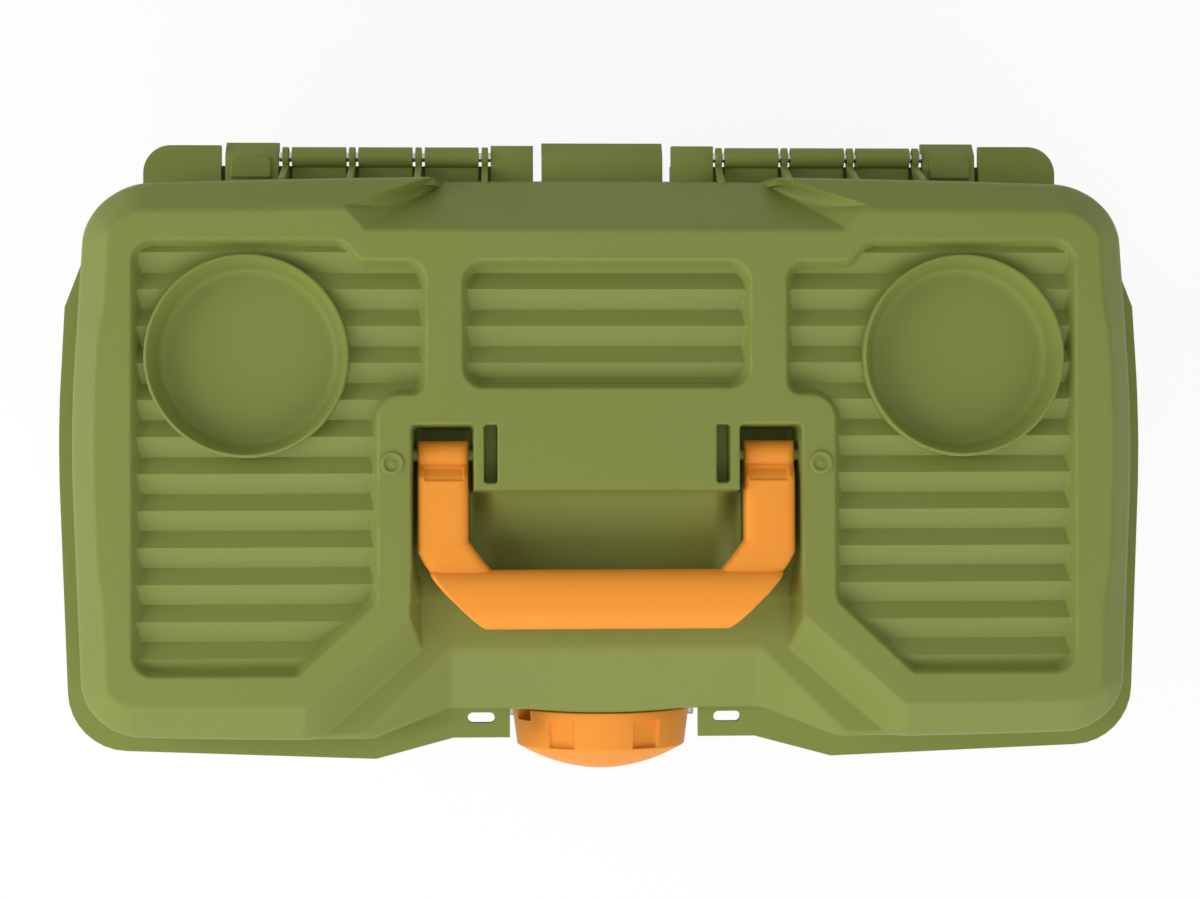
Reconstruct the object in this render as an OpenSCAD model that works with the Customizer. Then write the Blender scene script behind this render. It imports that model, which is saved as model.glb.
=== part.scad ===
// Fishing tackle cabinet: a body with four drawers and a top bay, closed by a hinged lid
// that carries the swing handle, the cup wells and the strike of the dial latch.
// Millimetres. Z is up, the front faces -Y and the base stands on Z = 0.

/* [Body] */
// height of the rim flange above the ground
body_h = 284; // [250:1:320]
// thickness of the body's walls
body_wall = 3.5; // [2.5:0.1:5]
// how far the body's walls stand in from the lid's edge
body_in = 2; // [1:0.1:4]
// how far the rim flange stands out from the lid's edge
flange_out = 9.6; // [6:0.1:12]
// thickness of the rim flange and of the hinge plates
flange_t = 4; // [2.5:0.1:6]
// height of the rim's upstand inside the lid
upstand_h = 2; // [1.5:0.1:4]
// thickness of the rim's upstand
upstand_t = 2; // [1.5:0.1:3]
// height of the hollow under the base
base_hollow_h = 8; // [5:0.5:12]
// width of the ring that the base stands on
base_ring_w = 10; // [6:0.5:20]
// thickness of the drawer bay's floor
bay_floor_t = 4; // [3:0.1:6]
// thickness of the deck between the drawers and the top bay
deck_t = 3; // [2:0.1:5]
// from the lid's widest place to the side of the drawer opening
bay_side_w = 19.3; // [18:0.1:30]
// how far the top of the drawer bay lies below the rim flange
bay_drop = 77.5; // [70:0.5:100]
// depth of the shallow panel in each side wall
side_panel_d = 1.2; // [0.5:0.1:2]
// length of the side panels
side_panel_l = 150; // [100:1:170]
// height of the side panels
side_panel_h = 150; // [80:1:190]

/* [Rim] */
// how far the rim flange stands out in front, beside the dial
flange_front_out = 10.3; // [8:0.1:12]
// how far it stands out in front, at its corners
flange_corner_out = 5.2; // [3:0.1:9]
// radius of the rim flange's front corners
flange_corner_r = 26; // [15:1:30]
// where the rim flange's rear ends are cut off, behind the centre
flange_end = 57.5; // [50:0.5:70]
// turn of that cut, in degrees
flange_end_turn = 21; // [10:1:40]
// rear end of the rim flange, behind the centre
rear_rim_y = 92; // [86:0.5:100]
// inner side of the front lugs beside the dial, from the centre plane
lug_in = 40.8; // [40:0.1:44]
// outer side of the front lugs
lug_out = 65.2; // [61:0.1:70]
// front edge of the front lugs, ahead of the centre
lug_front = 120.6; // [118:0.1:124]
// inner end of the lanyard slots, from the centre plane
lug_slot_in = 47.4; // [46:0.1:50]
// outer end of the lanyard slots
lug_slot_out = 59.1; // [56:0.1:60]
// middle of the lanyard slots, ahead of the centre
lug_slot_y = 112; // [111:0.1:115]
// width of the lanyard slots
lug_slot_w = 4.4; // [3:0.1:5]

/* [Lid plan] */
// widest size of the lid
lid_w = 450.6; // [436:0.2:466]
// how much narrower the lid is at its front corners
front_taper = 10.6; // [2:0.1:20]
// how much narrower the lid is at its rear corners
rear_taper = 13.6; // [2:0.1:20]
// where the lid is widest, from the centre line
bulge_y = 12; // [-20:1:30]
// lid's front edge, ahead of the centre
lid_front = 119.2; // [115:1:128]
// lid's rear edge, behind the centre
lid_rear = 119; // [112:1:122]
// radius of the lid's front corners
front_corner_r = 25; // [15:1:30]
// radius of the lid's rear corners
rear_corner_r = 28; // [20:1:34]
// radius that rounds the widest place of the sides
bulge_r = 600; // [300:10:800]
// width of the recess in front of which the dial stands
notch_w = 135.8; // [116:0.2:150]
// sideways run of the recess's slanted ends
notch_run = 30.6; // [20:0.1:40]
// depth of the recess from the lid's front edge
notch_d = 11; // [8:0.5:18]

/* [Lid form] */
// height of the lid, from the skirt's edge to the top face
lid_h = 39.6; // [34:0.1:48]
// thickness of the lid's walls
lid_wall = 3; // [2:0.1:4]
// clearance between the lid's skirt and the rim flange
lid_gap = 0.4; // [0.3:0.1:1]
// size of the chamfer round the top face
chamfer = 14; // [8:0.5:18]
// depth of the scoop in front of the handle
scoop_d = 19; // [12:0.5:22]
// half width of the scoop at its rear
scoop_hw = 81.9; // [78:0.5:90]
// turn of the scoop's slanted flanks, in degrees
flank_turn = 41.4; // [30:0.1:55]
// fall of the slanted flanks for each millimetre across them
flank_fall = 1.47; // [1:0.01:2.5]
// how far the scoop keeps its rear width, ahead of the centre
scoop_turn = 66.5; // [55:1:75]
// start of the front facet, ahead of the centre
facet_start = 81.6; // [75:0.5:95]
// drop of the front facet
facet_drop = 17; // [10:0.5:20]
// half width of the front facet
facet_hw = 66; // [60:0.5:68]
// turn of the two facets beside it, in degrees
facet_turn = 44.5; // [35:0.5:60]
// fall of these two facets for each millimetre across them
facet_side_fall = 0.9; // [0.6:0.01:1.2]
// width of the rear slope at its top
slope_w = 211; // [180:1:220]
// width of the rear slope at the lid's edge
slope_end_w = 142; // [120:1:170]
// start of the rear slope, behind the centre
slope_start = 95.3; // [85:0.1:100]
// drop of the rear slope
slope_drop = 32; // [20:1:34]

/* [Panels and cups] */
// depth of the ribbed panels below the top face
panel_d = 8; // [5:0.5:10]
// height of the ribs
rib_h = 4; // [2:0.5:6]
// spacing of the ribs
rib_pitch = 15.4; // [10:0.1:20]
// run of a rib's front face
rib_front_run = 8.4; // [5:0.1:12]
// first rib's crest, behind the centre
rib_first = 70.7; // [60:0.1:80]
// inner edge of the side panels
panel_inner = 75.4; // [70:0.5:80]
// inner edge of the side panels beside the handle
panel_waist = 95.7; // [92:0.1:104]
// outer edge of the side panels
panel_outer = 197.5; // [190:0.5:202]
// rear edge of the side panels
panel_rear = 91.1; // [84:0.5:94]
// rear edge of the side panels' inner shoulder
panel_step = 82.6; // [76:0.1:84]
// x where the shoulder steps back
panel_step_x = 110.2; // [100:0.5:125]
// front edge of the panels' wide rear part
panel_mid = 26.3; // [20:0.1:30]
// where the slanted front corner starts
panel_turn = -59.7; // [-70:0.5:-50]
// front edge of the side panels
panel_front = -90.5; // [-97:0.5:-86]
// sideways run of the slanted front corner
panel_cut = 32.7; // [20:0.5:40]
// corner radius of the panels
panel_r = 8; // [4:0.5:10]
// width of the centre panel
mid_panel_w = 120.5; // [100:0.1:140]
// front edge of the centre panel
mid_panel_front = 29.2; // [22:0.1:35]
// cup wells, distance from the centre plane
cup_x = 150.1; // [145:0.1:155]
// cup wells, distance behind the centre
cup_y = 42.7; // [36:0.1:45]
// outer radius of a cup well's rim
cup_r = 42.5; // [38:0.1:44]
// radius of a cup well's floor
cup_floor_r = 37; // [30:0.1:40]
// depth of a cup well
cup_d = 14; // [8:0.5:20]
// wall of a cup well's rim
cup_rim_t = 1.6; // [1:0.1:3]
// radius of the round bosses beside the handle
boss_r = 4.9; // [3:0.1:7]
// height of the round bosses
boss_h = 0.8; // [0.4:0.1:1.5]
// round bosses, distance from the centre plane
boss_x = 89.6; // [85:0.1:93]
// round bosses, distance ahead of the centre
boss_y = 2.1; // [0:0.1:10]

/* [Handle] */
// handle axis, behind the centre
handle_y = 1.3; // [-3:0.1:5]
// handle axis below the top face
handle_drop = 12; // [10:0.1:14]
// width across the handle's arms
handle_w = 158.7; // [150:0.1:165]
// width of one arm
arm_w = 21.3; // [16:0.1:24]
// radius of the handle's pivot barrels
barrel_r = 6; // [5:0.1:7]
// reach of the handle from its axis to the grip's front
handle_reach = 73.2; // [65:0.1:80]
// width of the grip, front to rear
grip_w = 25; // [18:0.1:30]
// height of the grip
grip_h = 20.7; // [16:0.1:24]
// corner radius of the grip
grip_r = 8; // [5:0.1:9.5]
// straight length of the grip's front edge
grip_l = 104; // [90:1:115]
// straight length of the grip's rear edge
grip_rear_l = 98; // [90:1:105]
// how much lower than the grip's top the arms' tops lie
arm_inset = 2; // [0.5:0.1:4]
// where the arms start to bend on their outer side, ahead of the centre
bend_start = 41.9; // [36:0.1:48]
// middle of the bend, ahead of the centre
bend_mid = 51.9; // [48:0.1:58]
// how far the middle of the bend stands in from the arm's outer side
bend_in = 7.1; // [3:0.1:10]
// where the arms start to bend on their inner side, ahead of the centre
bend_inner = 34.4; // [28:0.1:40]
// gap under the folded grip
rest_gap = 0.3; // [0.3:0.1:1]
// radius of the handle's pivot pins
handle_pin_r = 2.5; // [2:0.1:3.5]
// clearance between the handle and its slots
slot_gap = 2.4; // [1.5:0.1:4]
// depth of the slots round the handle's arms
slot_d = 24; // [20:0.5:28]
// depth of the finger well
well_d = 28; // [22:0.5:32]
// finger well's front edge, ahead of the centre
well_front = 62.4; // [58:0.1:66]
// front edge of the plate between the arms, ahead of the centre
tongue_front = 13.3; // [10:0.1:20]
// width of the two grooves in the plate between the arms
groove_w = 5.4; // [3:0.1:8]
// depth of those grooves
groove_d = 1.5; // [0.5:0.1:2.4]
// distance of those grooves' inner edges from the handle's slots
groove_in = 9.9; // [7:0.1:14]
// rear end of the slots round the handle's arms, behind the centre
slot_rear = 14; // [12:0.1:18]
// length of the bosses behind the handle's pins
pin_boss_l = 5; // [3:0.1:7]

/* [Hinge] */
// hinge axis, behind the centre
hinge_y = 131.4; // [129:0.1:134]
// hinge axis below the rim flange
hinge_drop = 8; // [7:0.1:11]
// radius of the hinge rods
rod_r = 2; // [1.5:0.1:2.5]
// outer radius of the hinge barrels and of the lid's ears
knuckle_r = 4.4; // [4:0.1:5.5]
// length of one hinge barrel
knuckle_l = 23.4; // [18:0.1:24]
// spacing of the hinge barrels
knuckle_pitch = 28.8; // [26:0.1:30]
// outer end of the hinge barrels, from the centre plane
knuckle_end = 134.8; // [130:0.1:138]
// thickness of the lid's ears
ear_t = 2.8; // [2:0.1:3.4]
// height of the ears' roots above the skirt's edge
ear_root_h = 8; // [5:0.5:12]
// direction in which an ear's upper edge meets its round end, in degrees from the rear
ear_top_turn = 37; // [20:1:60]
// direction in which its lower edge meets the round end
ear_foot_turn = 135; // [110:1:160]
// running clearance of pins and shafts
run_gap = 0.05; // [0.02:0.01:0.1]
// rear edge of the hinge plates, behind the centre
plate_y = 136.3; // [134:0.1:138]
// rear edge of the clip tabs, behind the centre
tab_y = 138.2; // [137:0.1:141]
// size of the slanted edge of the clip tabs
tab_slope = 6; // [3:0.1:7]
// rear edge of the shelf below the hinge, behind the centre
shelf_y = 128.2; // [124:0.1:132]
// thickness of that shelf
shelf_t = 3; // [2:0.1:5]
// room between the shelf and the hinge barrels
shelf_gap = 0.6; // [0.5:0.1:2]
// radius of the rear corner plates
plate_r = 12; // [6:0.5:14]
// inner side of the corner plates, from the centre plane
plate_in = 165.4; // [164.5:0.1:170]
// outer side of the corner plates
plate_out = 199; // [190:0.5:205]
// how far the corner plates reach into the rounded wall
plate_root = 7; // [5:0.5:10]
// inner side of the clip tabs, from the centre plane
clip_in = 140.6; // [140:0.1:145]
// outer side of the clip tabs
clip_out = 163.6; // [158:0.1:164]
// half width of the centre tab
centre_tab_hw = 26.4; // [20:0.1:28]
// inner side of the plates beside the centre tab, from the centre plane
inner_plate_in = 30.1; // [29:0.1:35]
// outer side of these plates
inner_plate_out = 48.6; // [45:0.1:49]

/* [Dial latch] */
// dial radius
dial_r = 39.5; // [36:0.1:39.9]
// dial radius at the edge of its face
dial_face_r = 37.1; // [32:0.1:38]
// dial axis below the rim flange
dial_drop = 40.3; // [40:0.1:44]
// rear face of the dial, ahead of the centre
dial_back = 110.5; // [109:0.1:113]
// straight band of the dial
dial_band = 1; // [0.5:0.1:3]
// length of the dial's tapered part
dial_taper_l = 16; // [10:0.1:18]
// length of the dial's domed face
dial_dome_l = 10.7; // [6:0.1:12]
// wall of the dial
dial_wall = 3; // [2:0.1:4]
// radius of the dial's hub
hub_r = 9; // [7:0.1:12]
// radius of the finger flutes in the dial
flute_r = 9; // [6:0.1:12]
// depth of the finger flutes
flute_d = 2.2; // [1:0.1:2.6]
// turn of the finger flutes from the top and from the bottom
flute_turn = 27; // [20:1:40]
// how far the flutes start from the dial's rear face
flute_start = 4; // [2:0.1:6]
// size of the notch in the dial's skirt
dial_notch = 5.8; // [3:0.1:8]
// turn of that notch, up from the left
notch_turn = 27; // [0:1:60]
// radius of the latch spindle
spindle_r = 5; // [4:0.1:7]
// radius of the spindle's boss on the body
bezel_r = 23; // [16:0.5:30]
// clearance between the dial's turning parts and the body
face_gap = 0.4; // [0.3:0.1:1]
// thickness of the latch cam
cam_t = 4; // [3:0.1:6]
// radius of the cam's hub
cam_hub_r = 11; // [9:0.1:13]
// radius of the strike's place above the dial axis
strike_rise = 20; // [17:0.1:23]
// radius of the strike pin
strike_r = 3; // [2:0.1:4]
// width of the cam's hook
hook_w = 5.6; // [4:0.1:8]
// room between the hook and the strike
hook_gap = 2.2; // [0.5:0.1:3]
// direction of the hook's tip while the latch is free, in degrees from the right
hook_tip = 160; // [150:1:175]
// direction of the hook's root
hook_root = 228; // [215:1:240]
// width of the hook's arm, in degrees
hook_arm = 22; // [15:1:30]
// thickness of the lug that holds the strike
strike_lug_t = 4; // [3:0.1:5]
// width of that lug
strike_lug_w = 18; // [14:0.5:22]
// how far that lug reaches below the strike's axis
strike_lug_edge = 4.8; // [4:0.1:7]
// radius of the cam screw's head
screw_head_r = 5; // [4:0.1:6]
// height of the cam screw's head
screw_head_h = 3; // [2:0.1:4]
// radius of the cam screw's thread
screw_r = 2; // [1.5:0.1:2.5]
// length of the cam screw under its head
screw_l = 14; // [8:0.5:20]
// radius of the cam washer
washer_r = 8; // [6.5:0.1:9]
// thickness of the cam washer
washer_t = 1.2; // [0.8:0.1:2]

/* [Drawers] */
// number of drawers
drawer_n = 4; // [2:1:5]
// room between a drawer's rim and the runner above it
drawer_room = 4; // [3:0.1:8]
// depth of a drawer, front to rear
drawer_l = 216; // [190:1:218]
// drawer fronts, ahead of the centre
drawer_front = 113; // [108:0.5:115]
// thickness of a drawer's walls
drawer_wall = 2.2; // [1.6:0.1:3]
// clearance between the drawers and their runners
drawer_gap = 0.3; // [0.3:0.1:1]
// side clearance of the drawers
drawer_side_gap = 1.5; // [1:0.1:2.5]
// width of a drawer's pull lip
pull_w = 90; // [60:1:120]
// reach of a drawer's pull lip
pull_l = 6; // [4:0.5:8]
// thickness of a drawer's pull lip
pull_t = 3; // [2:0.1:4]
// thickness of the runner frames
runner_t = 3; // [2:0.1:4]
// width of the runner ledges
ledge_w = 10; // [6:0.5:14]
// thickness of the runner ledges
ledge_t = 2.5; // [1.5:0.1:3]
// number of cross dividers in a drawer
divider_n = 3; // [1:1:5]
// thickness of the dividers
divider_t = 1.6; // [1:0.1:2.5]
// how far the drawer dividers stay below the drawer's edge
divider_drop = 5; // [2:0.5:15]
// top bay dividers, distance from the centre plane
bay_divider_x = 110; // [106:1:130]
// height of the top bay dividers
bay_divider_h = 52; // [30:1:70]
// size of the ribs that hold the dividers
key_w = 2.4; // [1.5:0.1:4]

/* [Hidden] */
$fn = 48;
cut = 1;
sliver = 0.01;
far = 400;
least_r = 0.2;
corner_steps = 4;
panel_steps = 3;
flange_steps = 8;
dome_steps = 5;

olive = [0.45, 0.5, 0.2];
orange = [0.95, 0.5, 0.12];
smoke = [0.75, 0.78, 0.74, 0.6];
steel = [0.7, 0.7, 0.72];

// levels
skirt_z = body_h + lid_gap;
top_z = skirt_z + lid_h;
hinge_z = body_h - hinge_drop;
dial_z = body_h - dial_drop;
handle_z = top_z - handle_drop;
scoop_z = top_z - scoop_d;
bay_z = base_hollow_h + bay_floor_t;
first_drawer_z = bay_z + ledge_t + drawer_gap;
bay_top_z = body_h - bay_drop;
drawer_pitch = (bay_top_z - ledge_t - bay_z) / drawer_n;
drawer_h = drawer_pitch - drawer_room;
deck_z = bay_top_z + deck_t;
notch_y = lid_front - notch_d;
wall_front_y = notch_y - body_in;
wall_back_y = wall_front_y - body_wall;
lid_front_w = lid_w - front_taper;
lid_rear_w = lid_w - rear_taper;
bay_open_w = lid_w - 2 * bay_side_w;
runner_x = bay_open_w / 2;
drawer_hw = runner_x - drawer_side_gap;
drawer_rear = drawer_l - drawer_front;
inner = body_in + body_wall;
bay_rear_y = lid_rear - inner;
bay_front_y = -lid_front + inner;
bay_hw = min(lid_front_w, lid_rear_w) / 2 - inner - drawer_gap;
arm_out = handle_w / 2;
arm_in = arm_out - arm_w;
slot_out = arm_out + slot_gap;
slot_in = arm_in - slot_gap;
front_fall = facet_drop / (notch_y - facet_start);
dial_face_y = dial_back + dial_band + dial_taper_l;
cam_back_y = -wall_back_y + 2 * face_gap + cam_t;
strike_plate_y = cam_back_y + face_gap + strike_lug_t;

// plan outlines: a list of corners, each with its radius, rounded by arcs
function unit(v) = v / norm(v);
function normal_of(a, b) = unit([b[1] - a[1], a[0] - b[0]]);
function before(p, i) = p[(i + len(p) - 1) % len(p)];
function after(p, i) = p[(i + 1) % len(p)];
function turns_left(p, i) = cross(p[i] - before(p, i), after(p, i) - p[i]) > 0;
function shrink(p, t) = [for (i = [0 : len(p) - 1])
    let(m = normal_of(before(p, i), p[i]), n = normal_of(p[i], after(p, i)))
    p[i] - (m + n) * t / (1 + m * n)];
function shrink_r(p, r, t) = [for (i = [0 : len(p) - 1])
    max(least_r, turns_left(p, i) ? r[i] - t : r[i] + t)];
function arc_at(a, b, c, r, steps) =
    let(u = unit(a - b), v = unit(c - b), half = acos(u * v) / 2, m = b + unit(u + v) * r / sin(half),
        p = b + u * r / tan(half) - m, q = b + v * r / tan(half) - m,
        start = atan2(p[1], p[0]), turn = (atan2(q[1], q[0]) - start + 540) % 360 - 180)
    [for (k = [0 : steps]) m + r * [cos(start + turn * k / steps), sin(start + turn * k / steps)]];
function rounded(p, r, steps) = [for (i = [0 : len(p) - 1])
    each arc_at(before(p, i), p[i], after(p, i), r[i], steps)];
function mirrored(p) = [for (i = [len(p) - 1 : -1 : 0]) [-p[i][0], p[i][1]]];
function backwards(p) = [for (i = [len(p) - 1 : -1 : 0]) p[i]];

lid_half = [[lid_front_w / 2, -lid_front], [lid_w / 2, bulge_y], [lid_rear_w / 2, lid_rear]];
lid_half_r = [front_corner_r, bulge_r, rear_corner_r];
lid_plan = concat(lid_half, mirrored(lid_half));
lid_plan_r = concat(lid_half_r, backwards(lid_half_r));
function lid_outline(t) = rounded(shrink(lid_plan, t), shrink_r(lid_plan, lid_plan_r, t), corner_steps);

flange_half = [
    [notch_w / 2 + notch_run, -lid_front - flange_front_out],
    [lid_front_w / 2 + flange_out, -lid_front - flange_corner_out],
    [lid_w / 2 + flange_out, bulge_y],
    [lid_rear_w / 2 + flange_out, lid_rear + flange_out]
];
flange_half_r = [least_r, flange_corner_r, bulge_r + flange_out, rear_corner_r + flange_out];
flange_plan = concat(flange_half, mirrored(flange_half));
flange_plan_r = concat(flange_half_r, backwards(flange_half_r));

panel_plan = [
    [panel_waist, panel_turn], [panel_waist + panel_cut, panel_front], [panel_outer, panel_front],
    [panel_outer, panel_rear], [panel_step_x, panel_rear], [panel_step_x - panel_r, panel_step],
    [panel_inner, panel_step], [panel_inner, panel_mid], [panel_waist, panel_mid]
];
panel_plan_r = panel_r * [1, 0.5, 1, 1, 0.5, 0.5, 1, 0.5, 1];
function panel_outline(t) =
    rounded(shrink(panel_plan, t), shrink_r(panel_plan, panel_plan_r, t), panel_steps);

// the recess that the dial stands in, with its slanted ends carried on past the lid's front edge
notch_half = [
    [notch_w / 2 + 2 * notch_run, -far],
    [notch_w / 2 + 2 * notch_run, -lid_front - notch_d],
    [notch_w / 2, -notch_y]
];
notch_plan = concat(notch_half, mirrored(notch_half));

module both_sides() {
    children();
    mirror([1, 0, 0]) children();
}

module along_x(length, x = 0) {
    translate([x - length / 2, 0, 0]) rotate([90, 0, 90]) linear_extrude(length) children();
}

// turned parts whose axis lies along Y, drawn with the radius as x and the distance forward as y
module turned(z) {
    translate([0, 0, z]) rotate([90, 0, 0]) rotate_extrude() children();
}

module disc_y(r, y_front, y_back, x = 0, z = 0) {
    translate([x, y_back, z]) rotate([90, 0, 0]) cylinder(r = r, h = y_back - y_front);
}

module rod_x(r, x_from, x_to, y, z) {
    translate([x_from, y, z]) rotate([0, 90, 0]) cylinder(r = r, h = x_to - x_from);
}

// the lid's convex cap, t inside its outer faces
module cap(t) {
    p = lid_outline(t);
    slim = chamfer - t * (2 - sqrt(2));
    foot = skirt_z - (t > 0 ? cut : 0);
    difference() {
        translate([0, 0, foot]) linear_extrude(top_z - t - foot) polygon(p);
        for (i = [0 : len(p) - 1]) {
            n = normal_of(p[i], after(p, i));
            mid = (p[i] + after(p, i)) / 2;
            length = norm(after(p, i) - p[i]) + slim;
            translate([mid[0], mid[1], top_z - t - slim]) rotate([0, 45, atan2(n[1], n[0])])
                translate([-2 * slim, -length / 2, 0]) cube([4 * slim, length, 2 * slim]);
        }
    }
}

module rear_slope(t) {
    intersection() {
        along_x(2 * far) polygon([
            [slope_start - t, top_z], [lid_rear - t, top_z - slope_drop],
            [lid_rear + far, top_z - slope_drop], [lid_rear + far, top_z + cut],
            [slope_start - t, top_z + cut]
        ]);
        linear_extrude(far) polygon([
            [-slope_w / 2 - t, slope_start - t], [slope_w / 2 + t, slope_start - t],
            [slope_end_w / 2 + t, lid_rear + cut], [-slope_end_w / 2 - t, lid_rear + cut]
        ]);
    }
}

// the drop that sets a slanted face t further in
function skin(fall, t) = t * sqrt(1 + fall * fall);

// the space above a plane that falls towards the front
module fall_space(fall) {
    along_x(2 * far) polygon([[far, far * fall], [-far, -far * fall], [-far, far], [far, far]]);
}

module scoop(t) {
    rear = well_front - slot_gap - t;
    translate([-scoop_hw - t, -far, scoop_z - t]) cube([2 * (scoop_hw + t), far - rear, far]);
    both_sides() intersection() {
        translate([-scoop_hw, -scoop_turn, top_z - skin(flank_fall, t)])
            rotate(flank_turn) fall_space(flank_fall);
        translate([-far, -far, scoop_z - t]) cube([far, far - scoop_turn + t, 2 * far]);
    }
    intersection() {
        translate([0, -facet_start, scoop_z - skin(front_fall, t)]) fall_space(front_fall);
        both_turned_facets(t);
    }
}

module both_turned_facets(t) {
    z = scoop_z - skin(facet_side_fall, t);
    intersection_for (side = [-1, 1])
        translate([side * facet_hw, -facet_start, z]) rotate(-side * facet_turn) fall_space(facet_side_fall);
}

module panel_ribs() {
    rear_run = rib_pitch - rib_front_run;
    count = floor((rib_first - panel_front) / rib_pitch) + 1;
    z = top_z - panel_d;
    along_x(2 * far) for (k = [-1 : count]) {
        y = rib_first - k * rib_pitch;
        polygon([
            [y - rib_front_run, z - cut], [y - rib_front_run, z], [y, z + rib_h], [y + rear_run, z],
            [y + rear_run, z - cut]
        ]);
    }
}

module side_panel(t) {
    translate([0, 0, top_z - panel_d - t]) linear_extrude(far) polygon(panel_outline(-t));
}

module mid_panel(t) {
    w = mid_panel_w / 2;
    p = [[-w, mid_panel_front], [w, mid_panel_front], [w, panel_step], [-w, panel_step]];
    r = [for (i = p) panel_r];
    translate([0, 0, top_z - panel_d - t]) linear_extrude(far)
        polygon(rounded(shrink(p, -t), shrink_r(p, r, -t), panel_steps));
}

module cup_place() {
    both_sides() translate([cup_x, cup_y, top_z]) children();
}

// the slots round the handle's arms and the finger well between them
module handle_space(t) {
    well_hw = slot_in - t + cut;
    both_sides() translate([slot_in - t, -well_front - t, top_z - slot_d - t])
        cube([slot_out - slot_in + 2 * t, slot_rear + well_front + 2 * t, far]);
    translate([-well_hw, -well_front - t, top_z - well_d - t])
        cube([2 * well_hw, well_front - tongue_front + 2 * t, far]);
}

module lid_form(t) {
    difference() {
        cap(t);
        rear_slope(t);
        linear_extrude(far) polygon(shrink(notch_plan, -t));
        scoop(t);
        handle_space(t);
        difference() {
            union() {
                both_sides() side_panel(t);
                mid_panel(t);
            }
            if (t == 0) {
                panel_ribs();
                cup_place() translate([0, 0, -panel_d - cut]) cylinder(r = cup_r, h = panel_d + cut);
            }
        }
        cup_place() translate([0, 0, -cup_d - t])
            cylinder(r1 = cup_floor_r + t, r2 = cup_r - cup_rim_t + t, h = cup_d + t + sliver);
        if (t == 0) both_sides() translate([slot_in - groove_in, -tongue_front - cut, top_z - groove_d])
            cube([groove_w, tongue_front + cut + slot_rear, far]);
    }
}

function knuckle_rim(turn) = [hinge_y + knuckle_r * cos(turn), hinge_z + knuckle_r * sin(turn)];

module ear(x) {
    root_y = lid_rear - lid_wall + cut;
    root_z = skirt_z + ear_root_h;
    difference() {
        union() {
            along_x(ear_t, x) polygon([
                [root_y, skirt_z + sliver], [root_y, root_z], [lid_rear + cut / 2, root_z],
                knuckle_rim(ear_top_turn), [hinge_y, hinge_z], knuckle_rim(ear_foot_turn)
            ]);
            rod_x(knuckle_r, x - ear_t / 2, x + ear_t / 2, hinge_y, hinge_z);
        }
        rod_x(rod_r + run_gap, x - ear_t, x + ear_t, hinge_y, hinge_z);
    }
}

function ear_x(k) = knuckle_end + (knuckle_pitch - knuckle_l) / 2 - k * knuckle_pitch;

// the lug under the front facet that holds the strike
module strike_lug() {
    y = strike_plate_y - strike_lug_t;
    low = dial_z + strike_rise - strike_lug_edge;
    high = scoop_z + front_fall * (strike_plate_y + facet_start) - lid_wall / 2;
    difference() {
        translate([-strike_lug_w / 2, y, low]) cube([strike_lug_w, strike_lug_t, high - low]);
        disc_y(strike_r, y - cut, strike_plate_y + cut, 0, dial_z + strike_rise);
    }
}

module lid() color(olive) {
    difference() {
        union() {
            difference() {
                lid_form(0);
                lid_form(lid_wall);
            }
            both_sides() {
                rod_x(2 * handle_pin_r, slot_out, slot_out + lid_wall + pin_boss_l, handle_y, handle_z);
                rod_x(2 * handle_pin_r, slot_in - lid_wall - pin_boss_l, slot_in, handle_y, handle_z);
            }
        }
        both_sides()
            rod_x(handle_pin_r, slot_in - lid_wall - cut, slot_out + lid_wall + cut, handle_y, handle_z);
    }
    both_sides() {
        for (k = [0 : 3]) ear(ear_x(k));
        translate([boss_x, -boss_y, top_z - cut]) cylinder(r = boss_r, h = boss_h + cut);
    }
    strike_lug();
}

module handle_pin() {
    rod_x(handle_pin_r, slot_in - lid_wall, slot_out + lid_wall, handle_y, handle_z);
}

module handle() color(orange) {
    front_y = handle_y - handle_reach;
    grip_y = front_y + grip_w / 2;
    grip_z = scoop_z + rest_gap + grip_h / 2;
    arm_h = grip_h - 2 * arm_inset;
    half = [
        [grip_l / 2, front_y + cut], [arm_out - bend_in, -bend_mid], [arm_out, -bend_start],
        [arm_out, handle_y], [arm_in, handle_y], [arm_in, -bend_inner],
        [grip_rear_l / 2, front_y + grip_w - cut]
    ];
    difference() {
        union() {
            translate([0, 0, grip_z - arm_h / 2]) linear_extrude(arm_h) polygon(concat(half, mirrored(half)));
            along_x(grip_l, 0) translate([grip_y, grip_z]) {
                square([grip_w - 2 * grip_r, grip_h], center = true);
                square([grip_w, grip_h - 2 * grip_r], center = true);
                for (sx = [-1, 1], sy = [-1, 1])
                    translate([sx * (grip_w / 2 - grip_r), sy * (grip_h / 2 - grip_r)]) circle(r = grip_r);
            }
            both_sides() rod_x(barrel_r, arm_in, arm_out, handle_y, handle_z);
        }
        both_sides() rod_x(handle_pin_r + run_gap, arm_in - cut, arm_out + cut, handle_y, handle_z);
    }
}

module hinge_barrels() {
    for (k = [0 : 2]) {
        x = knuckle_end - knuckle_l - k * knuckle_pitch;
        difference() {
            union() {
                rod_x(knuckle_r, x, x + knuckle_l, hinge_y, hinge_z);
                translate([x, lid_rear - body_in - cut, hinge_z - knuckle_r])
                    cube([knuckle_l, hinge_y - lid_rear + body_in + cut, knuckle_r]);
            }
            rod_x(rod_r, x - cut, x + knuckle_l + cut, hinge_y, hinge_z);
        }
    }
}

// a flat tab with a slanted, turned-down edge, from x_from to x_to
module rolled_tab(x_from, x_to, root_y) {
    z = hinge_z - flange_t / 2;
    top = z + flange_t;
    along_x(x_to - x_from, (x_from + x_to) / 2) polygon([
        [root_y, z], [tab_y - flange_t, z], [tab_y - flange_t, z - flange_t], [tab_y, z - flange_t],
        [tab_y, top - tab_slope], [tab_y - tab_slope, top], [root_y, top]
    ]);
}

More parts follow.
